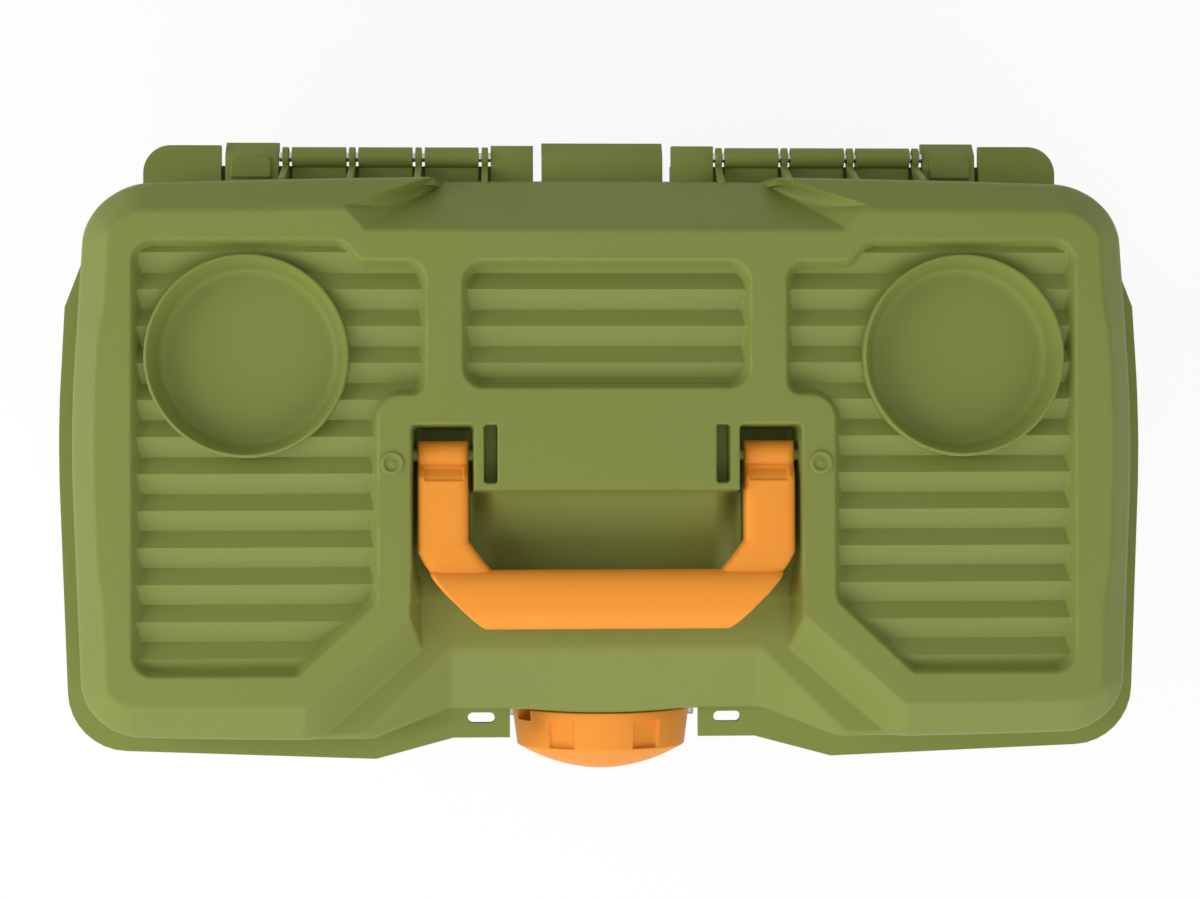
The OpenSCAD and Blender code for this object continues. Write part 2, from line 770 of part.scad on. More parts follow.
// flat plates and rolled tabs along the rear rim, with the shelf below the hinge
module rear_plates() {
    wall_y = lid_rear - body_in - cut;
    root_y = wall_y + cut - plate_root;
    both_sides() {
        translate([0, 0, hinge_z - flange_t / 2]) linear_extrude(flange_t) {
            translate([plate_in, root_y]) square([plate_out - plate_in - plate_r, plate_y - root_y]);
            translate([plate_in, root_y]) square([plate_out - plate_in, plate_y - root_y - plate_r]);
            translate([plate_out - plate_r, plate_y - plate_r]) circle(r = plate_r);
            translate([inner_plate_in, wall_y]) square([inner_plate_out - inner_plate_in, plate_y - wall_y]);
        }
        translate([inner_plate_in, root_y, hinge_z - knuckle_r - shelf_gap - shelf_t])
            cube([plate_out - inner_plate_in, shelf_y - root_y, shelf_t]);
        rolled_tab(clip_in, clip_out, wall_y);
    }
    rolled_tab(-centre_tab_hw, centre_tab_hw, wall_y);
}

// the front lug beside the dial, with its lanyard slot
module front_lug() {
    x = notch_w / 2 + notch_run;
    end = lug_slot_w / 2;
    difference() {
        polygon([
            [lug_in, -wall_back_y], [lug_in, -lug_front], [lug_out, -lug_front],
            [x, -lid_front - flange_front_out],
            [x, -lid_front + body_in + cut], [notch_w / 2, -wall_back_y]
        ]);
        translate([lug_slot_in + end, -lug_slot_y - end])
            square([lug_slot_out - lug_slot_in - lug_slot_w, lug_slot_w]);
        for (slot_x = [lug_slot_in + end, lug_slot_out - end])
            translate([slot_x, -lug_slot_y]) circle(r = end);
    }
}

module rim_flange() {
    linear_extrude(flange_t) {
        difference() {
            polygon(rounded(flange_plan, flange_plan_r, flange_steps));
            translate([-notch_w / 2 - notch_run, -far]) square([notch_w + 2 * notch_run, far]);
            polygon(lid_outline(body_in + body_wall / 2));
            translate([-far, rear_rim_y]) square(2 * far);
            both_sides() translate([lid_w / 2 + flange_out, flange_end]) rotate(flange_end_turn) square(far);
        }
        both_sides() front_lug();
    }
}

// wall outline of the body with the recess behind the dial, t inside the lid's edge
module wall_outline(t) {
    difference() {
        polygon(lid_outline(t));
        polygon(shrink(notch_plan, -t));
    }
}

module divider_keys(x, y_front, y_rear, z, h, gap) {
    for (s = [-1, 1], y = [y_front, y_rear - key_w])
        translate([x + s * (divider_t / 2 + gap) - (s < 0 ? key_w : 0), y, z]) cube([key_w, key_w, h]);
}

// shallow panels in the body's side walls
module side_panels() {
    difference() {
        translate([-far, -side_panel_l / 2, 0]) cube([2 * far, side_panel_l, side_panel_h]);
        translate([0, 0, -cut]) linear_extrude(far) polygon(lid_outline(body_in + side_panel_d));
    }
}

module body_shell() color(olive) {
    difference() {
        union() {
            linear_extrude(bay_top_z) polygon(lid_outline(body_in));
            linear_extrude(body_h) wall_outline(body_in);
            translate([0, 0, body_h - flange_t]) rim_flange();
            translate([0, 0, body_h - cut]) linear_extrude(upstand_h + cut) wall_outline(inner - upstand_t);
            rear_plates();
            disc_y(bezel_r, -dial_back + face_gap, -wall_back_y - cut, 0, dial_z);
        }
        translate([0, 0, -cut]) linear_extrude(base_hollow_h + cut)
            polygon(lid_outline(body_in + base_ring_w));
        translate([0, 0, bay_z]) linear_extrude(bay_top_z - bay_z) polygon(lid_outline(inner));
        translate([-runner_x, -far, bay_z]) cube([bay_open_w, far, bay_top_z - bay_z]);
        translate([0, 0, deck_z]) linear_extrude(far) wall_outline(inner);
        disc_y(spindle_r + run_gap, -far, 0, 0, dial_z);
        translate([0, 0, bay_z + ledge_t]) side_panels();
        translate([-strike_lug_w / 2 - cut, -wall_front_y - cut, body_h])
            cube([strike_lug_w + 2 * cut, body_wall + upstand_t + 2 * cut, far]);
    }
    both_sides() {
        hinge_barrels();
        divider_keys(bay_divider_x, bay_front_y - cut / 2, bay_rear_y + cut / 2, deck_z - cut / 2,
            bay_divider_h, drawer_gap);
    }
}

module runner_frame() color(olive) intersection() {
    runner_bars();
    translate([0, 0, bay_z]) linear_extrude(bay_top_z - bay_z) polygon(lid_outline(inner + drawer_gap));
}

module runner_bars() {
    h = bay_top_z - bay_z;
    front = bay_front_y + drawer_gap;
    rear = drawer_rear + drawer_gap;
    bar_w = ledge_w + drawer_gap + runner_t;
    translate([runner_x + drawer_gap, front, bay_z]) cube([runner_t, rear + runner_t - front, h]);
    translate([runner_x - ledge_w, rear, bay_z]) cube([bar_w, runner_t, h]);
    for (k = [0 : drawer_n - 1]) translate([runner_x - ledge_w, front, bay_z + k * drawer_pitch])
        cube([bar_w, rear - front + cut, ledge_t]);
    for (y = [-1, 0, 1]) translate([runner_x + runner_t, y * drawer_l / 3, bay_z])
        cube([bay_hw - runner_x - runner_t, runner_t, h]);
}

module bay_divider() color(olive) {
    translate([bay_divider_x - divider_t / 2, bay_front_y + drawer_gap, deck_z])
        cube([divider_t, bay_rear_y - bay_front_y - 2 * drawer_gap, bay_divider_h]);
}

module hinge_rod() color(steel) {
    rod_x(rod_r, ear_x(3) - ear_t, ear_x(0) + ear_t, hinge_y, hinge_z);
}

module dial_knob() color(orange) {
    dome = [for (k = [dome_steps : -1 : 0])
        [dial_face_r * k / dome_steps, dial_face_y + dial_dome_l * (1 - pow(k / dome_steps, 2))]];
    band_y = dial_back + dial_band;
    hollow_r = dial_r - dial_wall;
    floor_y = dial_face_y - dial_wall;
    difference() {
        turned(dial_z) difference() {
            polygon(concat([[0, dial_back], [dial_r, dial_back], [dial_r, band_y]], dome));
            polygon([
                [hub_r, dial_back - cut], [hollow_r, dial_back - cut], [hollow_r, band_y],
                [dial_face_r - dial_wall, floor_y], [hub_r, floor_y]
            ]);
        }
        disc_y(spindle_r, -floor_y, -dial_back + cut, 0, dial_z);
        translate([0, 0, dial_z]) for (a = [flute_turn, -flute_turn, 180 - flute_turn, 180 + flute_turn])
            rotate([0, a, 0])
                disc_y(flute_r, -dial_face_y, -dial_back - flute_start, 0, dial_r + flute_r - flute_d);
        translate([0, 0, dial_z]) rotate([0, notch_turn, 0])
            translate([-dial_r - cut, -dial_back - dial_notch, -dial_notch / 2])
                cube([dial_wall + 2 * cut, dial_notch + cut, dial_notch]);
    }
}

module latch_spindle() color(steel) {
    difference() {
        disc_y(spindle_r, -dial_face_y + dial_wall, cam_back_y, 0, dial_z);
        disc_y(screw_r, cam_back_y - screw_l, cam_back_y + cut, 0, dial_z);
    }
}

// a wedge between two directions, longer than the hook's reach
module wedge(reach, from, to) {
    polygon([[0, 0], 2 * reach * [cos(from), sin(from)], 2 * reach * [cos(to), sin(to)]]);
}

// the cam is drawn as seen from the front, with the hook to the left while the latch is free
module latch_cam() color(steel) {
    hook_in = strike_rise + strike_r + hook_gap;
    hook_out = hook_in + hook_w;
    translate([0, cam_back_y, dial_z]) rotate([90, 0, 0]) linear_extrude(cam_t) difference() {
        union() {
            circle(r = cam_hub_r);
            intersection() {
                difference() {
                    circle(r = hook_out);
                    circle(r = hook_in);
                }
                wedge(hook_out, hook_tip, hook_root);
            }
            intersection() {
                circle(r = hook_out);
                wedge(hook_out, hook_root - hook_arm, hook_root);
            }
        }
        circle(r = spindle_r);
    }
}

module cam_washer() color(steel) {
    difference() {
        disc_y(washer_r, cam_back_y, cam_back_y + washer_t, 0, dial_z);
        disc_y(screw_r, cam_back_y - cut, cam_back_y + washer_t + cut, 0, dial_z);
    }
}

module cam_screw() color(steel) {
    y = cam_back_y + washer_t;
    disc_y(screw_r, y - screw_l, y + cut, 0, dial_z);
    difference() {
        disc_y(screw_head_r, y, y + screw_head_h, 0, dial_z);
        disc_y(screw_r, y + screw_head_h / 2, y + screw_head_h + cut, 0, dial_z, $fn = 6);
    }
}

module latch_strike() color(steel) {
    disc_y(strike_r, cam_back_y - cam_t, strike_plate_y, 0, dial_z + strike_rise);
}

function drawer_z(k) = first_drawer_z + (k - 1) * drawer_pitch;
function divider_x(i) = (i - (divider_n - 1) / 2) * 2 * drawer_hw / (divider_n + 1);

module drawer(k) color(smoke) {
    z = drawer_z(k);
    difference() {
        translate([-drawer_hw, -drawer_front, z]) cube([2 * drawer_hw, drawer_l, drawer_h]);
        translate([-drawer_hw + drawer_wall, -drawer_front + drawer_wall, z + drawer_wall])
            cube([2 * (drawer_hw - drawer_wall), drawer_l - 2 * drawer_wall, drawer_h]);
    }
    translate([-pull_w / 2, -drawer_front - pull_l, z + drawer_h - pull_t])
        cube([pull_w, pull_l + cut, pull_t]);
    for (i = [0 : divider_n - 1])
        divider_keys(divider_x(i), -drawer_front + drawer_wall - cut / 2, drawer_rear - drawer_wall + cut / 2,
            z + drawer_wall - cut / 2, drawer_h - drawer_wall - divider_drop, drawer_gap);
}

module drawer_dividers(k) color(smoke) {
    z = drawer_z(k) + drawer_wall;
    length = drawer_l - 2 * (drawer_wall + drawer_gap);
    for (i = [0 : divider_n - 1])
        translate([divider_x(i) - divider_t / 2, -drawer_front + drawer_wall + drawer_gap, z])
            cube([divider_t, length, drawer_h - drawer_wall - divider_drop]);
}

body_shell();
mirror([1, 0, 0]) runner_frame();  // runner_frame_left
runner_frame();  // runner_frame_right
mirror([1, 0, 0]) bay_divider();  // bay_divider_left
bay_divider();  // bay_divider_right
mirror([1, 0, 0]) hinge_rod();  // hinge_rod_left
hinge_rod();  // hinge_rod_right
lid();
color(olive) mirror([1, 0, 0]) handle_pin();  // handle_pin_left
color(olive) handle_pin();  // handle_pin_right
latch_strike();
handle();
dial_knob();
latch_spindle();
latch_cam();
cam_washer();
cam_screw();
drawer(1);  // drawer_1
drawer(2);  // drawer_2
drawer(3);  // drawer_3
drawer(4);  // drawer_4
drawer_dividers(1);  // drawer_1_dividers
drawer_dividers(2);  // drawer_2_dividers
drawer_dividers(3);  // drawer_3_dividers
drawer_dividers(4);  // drawer_4_dividers
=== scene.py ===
"""The looks of a fishing tackle cabinet, laid out as a Blender add-on: one operator for each group of pieces.

Lengths in the shape code are millimetres in the cabinet's own frame: the base stands on Z = 0 and the
front faces -Y. Sizes that a user would change are in the property groups, in metres.
"""
import math

import bmesh
import bpy
import numpy as np
from bpy.props import FloatProperty, FloatVectorProperty, IntProperty, PointerProperty
from bpy.types import Operator, Panel, PropertyGroup
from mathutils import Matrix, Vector


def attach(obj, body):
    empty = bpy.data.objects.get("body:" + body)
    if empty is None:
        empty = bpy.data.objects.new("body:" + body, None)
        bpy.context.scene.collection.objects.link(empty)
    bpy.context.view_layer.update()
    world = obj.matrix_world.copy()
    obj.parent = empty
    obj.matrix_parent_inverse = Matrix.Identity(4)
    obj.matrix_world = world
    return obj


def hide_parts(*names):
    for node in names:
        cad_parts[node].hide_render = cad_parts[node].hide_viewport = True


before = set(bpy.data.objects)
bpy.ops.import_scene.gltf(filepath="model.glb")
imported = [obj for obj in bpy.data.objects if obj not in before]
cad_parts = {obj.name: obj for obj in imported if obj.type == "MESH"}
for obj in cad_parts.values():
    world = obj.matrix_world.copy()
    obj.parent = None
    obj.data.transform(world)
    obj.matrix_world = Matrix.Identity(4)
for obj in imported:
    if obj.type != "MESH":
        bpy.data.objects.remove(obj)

bl_info = {
    "name": "Tackle cabinet",
    "version": (1, 0, 0),
    "blender": (4, 5, 0),
    "location": "3D View > Sidebar > Cabinet",
    "description": "Builds the visible surfaces of a moulded fishing tackle cabinet",
    "category": "Add Mesh",
}

MM = 0.001
# edges that turn by more degrees than this are kept crisp
SHARP = 38.0
SIDES = ((-1, "left"), (1, "right"))

# lid: its top face, the foot of its skirt, how far its edges lie from the middle, and its round edges
TOP_Z, SKIRT_Z = 324.0, 284.4
HALF_W, FRONT, REAR = 225.3, 119.2, 119.0
FRONT_CORNER_R, REAR_CORNER_R, EDGE_R = 25.0, 28.0, 2.5

# lid's skin: where the bend of its front and rear edges starts, where its sheets meet, how much coarser
# its underside is, how close a second grid line lies to a crisp edge, and a height above all others
WARP_Y = 92.0
SHEET_SPLIT_Y = -3.0
SHEET_STEP = 3
BESIDE = 0.3
CLEAR_ABOVE = 9.0

# ribs: the first ridge, the distance between ridges and the part of it that falls; and the middle
# panel's half width, half depth and place
RIB_FIRST, RIB_PITCH, RIB_FALL = 70.7, 15.4, 8.4
MIDDLE_HALF_W, MIDDLE_HALF_D, MIDDLE_Y = 60.25, 26.7, 55.9

# middles of the cup wells and of the small round buttons
CUP_X, CUP_Y = 150.1, 42.7
BUTTON_X, BUTTON_Y = 89.6, -2.1

# handle's pocket: the arm slots, the grooves in the plate, the finger well and the scooped front
SLOT_IN, SLOT_OUT, SLOT_REAR = 55.65, 81.75, 14.0
GROOVE_IN, GROOVE_OUT, GROOVE_FRONT = 45.8, 51.2, -10.4
WELL_HALF, WELL_REAR, WELL_FRONT = 60.0, -13.3, -62.4
SCOOP_X, SCOOP_Y, SCOOP_DROP = 82.3, -60.0, 19.0

# handle: the middle of its grip, its pivot, the bosses that hold its pins, and its arms' heights
GRIP_Y, GRIP_Z = -59.4, 315.65
PIVOT_Y, PIVOT_Z, PIVOT_R = 1.3, 312.0, 6.0
BOSS_R = 5.0
ARM_TOP, ARM_RISE, ARM_FOOT = 316.6, 4.9, 307.3

# hinge: the rod's place, and the radius, first place, spacing and thickness of the lid's ears
ROD_Y, ROD_Z = 131.4, 276.0
EAR_R, EAR_FIRST, EAR_PITCH, EAR_T = 4.4, 137.5, 28.8, 2.8

# dial: the height of its axis, its depths from the cabinet's middle, and its flutes and notch in degrees
DIAL_Z = 243.7
DIAL_BACK, SKIRT_BACK, DIAL_FACE, DOME_RISE = 110.5, 111.5, 127.5, 10.7
FLUTE_BACK, FLUTE_FRONT = 114.47, 126.6
FLUTES = (60.5, 119.5, 240.5, 299.5)
NOTCH = 153

# stage
WHITE = (1, 1, 1, 1)
LAMP_AIM = (0, 0, 0.3)


# ---------------------------------------------------------------- sizes

def length(name, text, value):
    """A size in metres, with its name and description."""
    return FloatProperty(name=name, description=text, default=value, unit="LENGTH", precision=4)


class LidSizes(PropertyGroup):
    cell: length("Cell", "Spacing of the points that the lid's skin is drawn with", 0.0006)
    thickness: length("Wall", "Thickness of the lid's walls", 0.003)
    chamfer: length("Chamfer drop", "Height of the slanted border round the top face", 0.014)
    panel_depth: length("Panel depth", "Depth of the ribbed panels", 0.008)
    rib_height: length("Rib height", "Height of the ribs above the panel's floor", 0.004)
    cup_depth: length("Cup depth", "Depth of the two round wells", 0.014)


class HandleSizes(PropertyGroup):
    grip_width: length("Grip width", "Grip from front to rear", 0.025)
    grip_height: length("Grip height", "Grip from top to bottom", 0.0207)


class DialSizes(PropertyGroup):
    radius: length("Dial radius", "Radius of the dial at its back", 0.0395)
    flute_depth: length("Flute depth", "Depth of the finger flutes", 0.0022)
    steps: IntProperty(name="Steps", description="Points round the dial", default=480)


class Colours(PropertyGroup):
    olive: FloatVectorProperty(name="Olive", description="Moulded body and lid", subtype="COLOR",
                               size=3, default=(0.226, 0.264, 0.058))
    orange: FloatVectorProperty(name="Orange", description="Handle and dial", subtype="COLOR",
                                size=3, default=(0.95, 0.335, 0.036))
    smoke: FloatVectorProperty(name="Smoke", description="Clear drawers", subtype="COLOR",
                               size=3, default=(0.62, 0.66, 0.60))
    steel: FloatVectorProperty(name="Steel", description="Pins, rods and the latch cam", subtype="COLOR",
                               size=3, default=(0.56, 0.57, 0.58))


class Cabinet(PropertyGroup):
    lid: PointerProperty(type=LidSizes)
    handle: PointerProperty(type=HandleSizes)
    dial: PointerProperty(type=DialSizes)
    colours: PointerProperty(type=Colours)


# ---------------------------------------------------------------- shape helpers

def ramp(value, start, end):
    """0 before start, 1 after end, and a smooth s-curve between them."""
    t = np.clip((value - start) / (end - start), 0, 1)
    return t * t * (3 - 2 * t)


def lower(a, b, k):
    """The lower of two heights, with the corner between them rounded over the height k."""
    h = np.maximum(k - np.abs(a - b), 0) / k
    return np.minimum(a, b) - h * h * k / 4


def higher(a, b, k):
    """The higher of two heights, with the corner between them rounded over the height k."""
    return -lower(-a, -b, k)


def rounded(corners, radii, steps):
    """A closed outline whose corners are arcs: each arc's centre lies on the corner's bisector."""
    p = np.asarray(corners, float)
    r = np.asarray(radii, float)[:, None]
    u = np.roll(p, 1, 0) - p
    v = np.roll(p, -1, 0) - p
    u /= np.linalg.norm(u, axis=1)[:, None]
    v /= np.linalg.norm(v, axis=1)[:, None]
    half = np.arccos(np.sum(u * v, 1))[:, None] / 2
    bisector = (u + v) / np.linalg.norm(u + v, axis=1)[:, None]
    centre = p + bisector * r / np.sin(half)
    a = p + u * r / np.tan(half) - centre
    b = p + v * r / np.tan(half) - centre
    start = np.arctan2(a[:, 1], a[:, 0])
    turn = (np.arctan2(b[:, 1], b[:, 0]) - start + 3 * np.pi) % (2 * np.pi) - np.pi
    angle = start[:, None] + turn[:, None] * np.linspace(0, 1, steps + 1)
    arc = np.stack([np.cos(angle), np.sin(angle)], -1) * r[:, :, None] + centre[:, None]
    return arc.reshape(-1, 2)


def inside_distance(x, y, outline):
    """Distance from each point to the nearest edge of a closed outline, positive inside it."""
    best = np.full(x.shape, 1e9)
    within = np.zeros(x.shape, bool)
    for (ax, ay), (bx, by) in zip(outline, np.roll(outline, -1, 0)):
        ex, ey = bx - ax, by - ay
        wx, wy = x - ax, y - ay
        t = np.clip((wx * ex + wy * ey) / (ex * ex + ey * ey), 0, 1)
        best = np.minimum(best, (wx - ex * t) ** 2 + (wy - ey * t) ** 2)
        side = ex * wy - ey * wx
        within ^= ((ay <= y) & (by > y) & (side > 0)) | ((ay > y) & (by <= y) & (side < 0))
    return np.where(within, 1, -1) * np.sqrt(best)


def cornered(dx, dy, radius):
    """Distance inside a rectangle whose corners are rounded, from the distances to its nearest sides."""
    beyond = np.hypot(np.maximum(radius - dx, 0), np.maximum(radius - dy, 0))
    return radius - beyond + np.maximum(np.minimum(dx, dy) - radius, 0)


def pit(d, depth, lip, draft, foot):
    """Height in a pocket at d in from its edge: a rounded lip, a steep wall and a rounded foot on the floor.

    The lip and the foot are quarter circles, each r (1 - sqrt(1 - t*t)) high, and the wall is straight.
    """
    over = np.clip(1 + d / lip, 0, 1)
    edge = -lip * (1 - np.sqrt(1 - over * over))
    wall = -lip - (depth - lip) * np.clip(d / draft, 0, 1)
    near = np.clip(1 - d / foot, 0, 1)
    floor = -depth + foot * (1 - np.sqrt(1 - near * near)) * (depth > foot)
    return np.where(d > 0, np.maximum(wall, floor), edge)


def grid_faces(rows, cols, start=0, wrap_rows=False, wrap_cols=False):
    """Quads of a grid of points, which may close on itself in either direction."""
    i = np.arange(rows if wrap_rows else rows - 1)[:, None]
    j = np.arange(cols if wrap_cols else cols - 1)[None, :]
    i2, j2 = (i + 1) % rows, (j + 1) % cols
    quads = np.stack(np.broadcast_arrays(i * cols + j, i2 * cols + j, i2 * cols + j2, i * cols + j2), -1)
    return quads.reshape(-1, 4) + start


def outward(points, faces):
    """The faces turned so that the closed surface's signed volume is positive."""
    volume = 0.0
    for f in faces:
        a = points[f[:, 0]]
        for k in range(1, f.shape[1] - 1):
            volume += np.einsum("ij,ij->", a, np.cross(points[f[:, k]], points[f[:, k + 1]]))
    return faces if volume > 0 else [f[:, ::-1] for f in faces]


def piece(name, points, faces, material, body, slot, stands_for=(), sharp=SHARP):
    """A closed piece in millimetres: smooth shaded, with edges sharper than an angle kept crisp."""
    points = np.asarray(points, float).reshape(-1, 3)
    faces = outward(points, [np.asarray(f) for f in faces if len(f)])
    mesh = bpy.data.meshes.new(name)
    mesh.from_pydata((points * MM).tolist(), [], [q for f in faces for q in f.tolist()])
    mesh.polygons.foreach_set("use_smooth", np.ones(len(mesh.polygons), bool))
    mesh.set_sharp_from_angle(angle=math.radians(sharp))
    mesh.materials.append(material)
    mesh.validate()
    obj = bpy.data.objects.new(name, mesh)
    bpy.context.scene.collection.objects.link(obj)
    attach(obj, body)
    if stands_for:
        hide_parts(*stands_for)
    return obj


def loft(name, rings, **more):
    """A closed surface through closed rings, shape (rings, points, 3), with a fan over each end ring."""
    rings = np.asarray(rings, float)
    n, m = rings.shape[:2]
    points = np.concatenate([rings.reshape(-1, 3), rings[0].mean(0)[None], rings[-1].mean(0)[None]])
    k = np.arange(m)
    first = np.stack([np.full(m, n * m), (k + 1) % m, k], 1)
    last = np.stack([np.full(m, n * m + 1), (n - 1) * m + k, (n - 1) * m + (k + 1) % m], 1)
    faces = [grid_faces(n, m, wrap_cols=True)[:, ::-1], first[:, ::-1], last[:, ::-1]]
    return piece(name, points, faces, **more)


def turned(name, profile, centre, steps, **more):
    """A turned piece with an upright axis: its profile of radius and height is carried round the centre."""
    radius, height = np.asarray(profile, float).T
    angle = np.linspace(0, 2 * np.pi, steps, endpoint=False)
    across = centre[0] + radius[:, None] * np.cos(angle)
    along = centre[1] + radius[:, None] * np.sin(angle)
    rings = np.stack([across, along, np.repeat(centre[2] + height[:, None], steps, 1)], -1)
    return loft(name, rings, **more)


def band(name, rings, **more):
    """A closed ring surface: a closed path of closed cross-sections, shape (path, section, 3)."""
    rings = np.asarray(rings, float)
    n, m = rings.shape[:2]
    faces = [grid_faces(n, m, wrap_rows=True, wrap_cols=True)]
    return piece(name, rings.reshape(-1, 3), faces, **more)


def sheet(name, top, bottom, step, **more):
    """A closed slab: a fine grid of top points, a bottom grid step times coarser, and walls between."""
    n, m = top.shape[:2]
    p, q = bottom.shape[:2]
    low = n * m

    def loop(rows, cols, start):
        i, j = np.arange(rows), np.arange(cols)
        parts = [i[:-1] * cols, (rows - 1) * cols + j[:-1], i[:0:-1] * cols + cols - 1, j[:0:-1]]
        return np.concatenate(parts) + start

    t, b = loop(n, m, 0), loop(p, q, low)
    s = np.arange(len(b))
    fans = [np.stack([b, t[(s * step + k + 1) % len(t)], t[s * step + k]], 1) for k in range(step)]
    fans.append(np.stack([b, np.roll(b, -1), t[(s * step + step) % len(t)]], 1))
    points = np.concatenate([top.reshape(-1, 3), bottom.reshape(-1, 3)])
    faces = [grid_faces(n, m), grid_faces(p, q, low)[:, ::-1], np.concatenate(fans)]
    return piece(name, points, faces, **more)


def prism(name, outline, start, end, bevel, axis="x", **more):
    """An outline of two coordinates drawn out along the third one, with rounded edges."""
    flat = np.asarray(outline, float)
    ends = []
    for at in (start, end):
        at = np.full(len(flat), float(at))
        ends.append(np.stack({"x": (at, flat[:, 0], flat[:, 1]), "y": (flat[:, 0], at, flat[:, 1]),
                              "z": (flat[:, 0], flat[:, 1], at)}[axis], 1))
    m = len(flat)
    sides = grid_faces(2, m, wrap_cols=True)
    caps = [np.arange(m)[None, ::-1], np.arange(m, 2 * m)[None]]
    signed = np.sum(flat[:, 0] * np.roll(flat[:, 1], -1) - np.roll(flat[:, 0], -1) * flat[:, 1])
    if (signed < 0) != (axis == "y"):
        caps = [c[:, ::-1] for c in caps]
    else:
        sides = sides[:, ::-1]
    obj = piece(name, np.concatenate(ends), [sides, *caps], **more)
    rounding(obj, bevel)
    return obj


def rounding(obj, width):
    """Rounds an object's sharp edges with a bevel of that width in millimetres."""
    mod = obj.modifiers.new("edge rounding", "BEVEL")
    mod.width = width * MM
    mod.segments = 2
    mod.limit_method = "ANGLE"
    mod.angle_limit = math.radians(30)
    mod.use_clamp_overlap = True
    mod.miter_outer = "MITER_ARC"


def softened(node, material, body, width):
    """A piece for one node: its surface with the triangles joined up and every sharp edge rounded."""
    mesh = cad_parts[node].data.copy()
    mesh.name = node + "_moulded"
    work = bmesh.new()
    work.from_mesh(mesh)
    bmesh.ops.remove_doubles(work, verts=work.verts, dist=0.00002)
    bmesh.ops.dissolve_limit(work, angle_limit=math.radians(1.0), verts=work.verts, edges=work.edges)
    work.to_mesh(mesh)
    work.free()
    mesh.polygons.foreach_set("use_smooth", np.ones(len(mesh.polygons), bool))
    mesh.set_sharp_from_angle(angle=math.radians(SHARP))
    mesh.materials.clear()
    mesh.materials.append(material)
    obj = bpy.data.objects.new(node + "_moulded", mesh)
    bpy.context.scene.collection.objects.link(obj)
    rounding(obj, width)
    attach(obj, body)
    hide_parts(node)


# ---------------------------------------------------------------- materials

class Wire:
    """One output of a shader node, which adds, multiplies and so on as a number does."""

    def __init__(self, tree, socket):
        self.tree, self.socket = tree, socket

    def _math(self, operation, first, second):
        """A Math node on two numbers or wires."""
        return new_node(self.tree, "Math", {"operation": operation}, _0=first, _1=second)

    def __add__(self, other):
        return self._math("ADD", self, other)

    def __radd__(self, other):
        return self._math("ADD", other, self)

    def __sub__(self, other):
        return self._math("SUBTRACT", self, other)

    def __rsub__(self, other):
        return self._math("SUBTRACT", other, self)

    def __mul__(self, other):
        return self._math("MULTIPLY", self, other)

    def __rmul__(self, other):
        return self._math("MULTIPLY", other, self)


def feed(tree, socket, value):
    """Links a wire to an input, or sets the input's own value."""
    if isinstance(value, Wire):
        tree.links.new(value.socket, socket)
    else:
        socket.default_value = value


def new_node(tree, kind, settings=None, output=0, **values):
    """Adds a node and returns one of its outputs as a wire.

    Its settings go first, then its inputs: by name, or by number behind an underscore.
    """
    n = tree.nodes.new("ShaderNode" + kind)
    for key, value in (settings or {}).items():
        setattr(n, key, value)
    for key, value in values.items():
        name = key.replace("_", " ")
        socket = n.inputs[int(key[1:])] if key[1:].isdigit() else n.inputs[name]
        feed(tree, socket, value)
    return Wire(tree, n.outputs[output])


def blank(name):
    """A new material with only its output node."""
    material = bpy.data.materials.new(name)
    material.use_nodes = True
    tree = material.node_tree
    tree.nodes.clear()
    out = tree.nodes.new("ShaderNodeOutputMaterial")
    return material, tree, out


def noise(tree, place, scale, detail=3.0, **more):
    """Smooth 3D noise at a place."""
    kind = {"noise_dimensions": "3D"}
    return new_node(tree, "TexNoise", kind, Vector=place, Scale=scale, Detail=detail, **more)


def drawn_out(tree, place, scale):
    """A place multiplied by three scales, which draws a pattern out along the smallest of them."""
    return new_node(tree, "VectorMath", {"operation": "MULTIPLY"}, _0=place, _1=scale)


def tinted(colour, factor, lift=0.0):
    """A colour times a factor, plus a lift, as four numbers no higher than 1."""
    return [min(1.0, c * factor + lift) for c in colour] + [1.0]


def shaded(tree, out, colour, rough, bump, **constants):
    """Ends a material in a Principled shader with three varying inputs and its constant ones."""
    shader = new_node(tree, "BsdfPrincipled", Base_Color=colour, Roughness=rough, Normal=bump, **constants)
    feed(tree, out.inputs["Surface"], shader)


def mixed(tree, factor, a, b):
    """A colour between a and b."""
    return new_node(tree, "Mix", {"data_type": "RGBA"}, output=2, _0=factor, _6=a, _7=b)


def moulded_plastic(name, colour, grain=0.06, roughness=0.5, depth=0.00012, scale=2600.0):
    """Injection moulded plastic: a faint flow mottle, a fine pebbled grain and shinier rubbed patches."""
    material, tree, out = blank(name)
    place = new_node(tree, "TexCoord", output=3)
    flow = noise(tree, place, 9.0, Roughness=0.55)
    speck = noise(tree, place, 900.0, 2.0, Roughness=0.6)
    pebble = noise(tree, place, scale, 2.0, Roughness=0.5)
    scuff = noise(tree, drawn_out(tree, place, (260.0, 38.0, 120.0)), 1.0, 4.0, Roughness=0.7)
    rubbed = new_node(tree, "MapRange", {"clamp": True}, _0=scuff, _1=0.62, _2=0.74, _3=0.0, _4=1.0)
    shade = mixed(tree, flow * 0.6 + speck * 0.4, tinted(colour, 1 - grain), tinted(colour, 1 + grain))
    shade = mixed(tree, rubbed * 0.35, shade, tinted(colour, 1.06, 0.012))
    rough = roughness + (flow - 0.5) * 0.12 + (speck - 0.5) * 0.1 - rubbed * 0.05
    bump = new_node(tree, "Bump", Strength=0.35, Distance=depth, Height=pebble * 0.75 + speck * 0.25)
    shaded(tree, out, shade, rough, bump, IOR=1.49, Specular_IOR_Level=0.22)
    return material


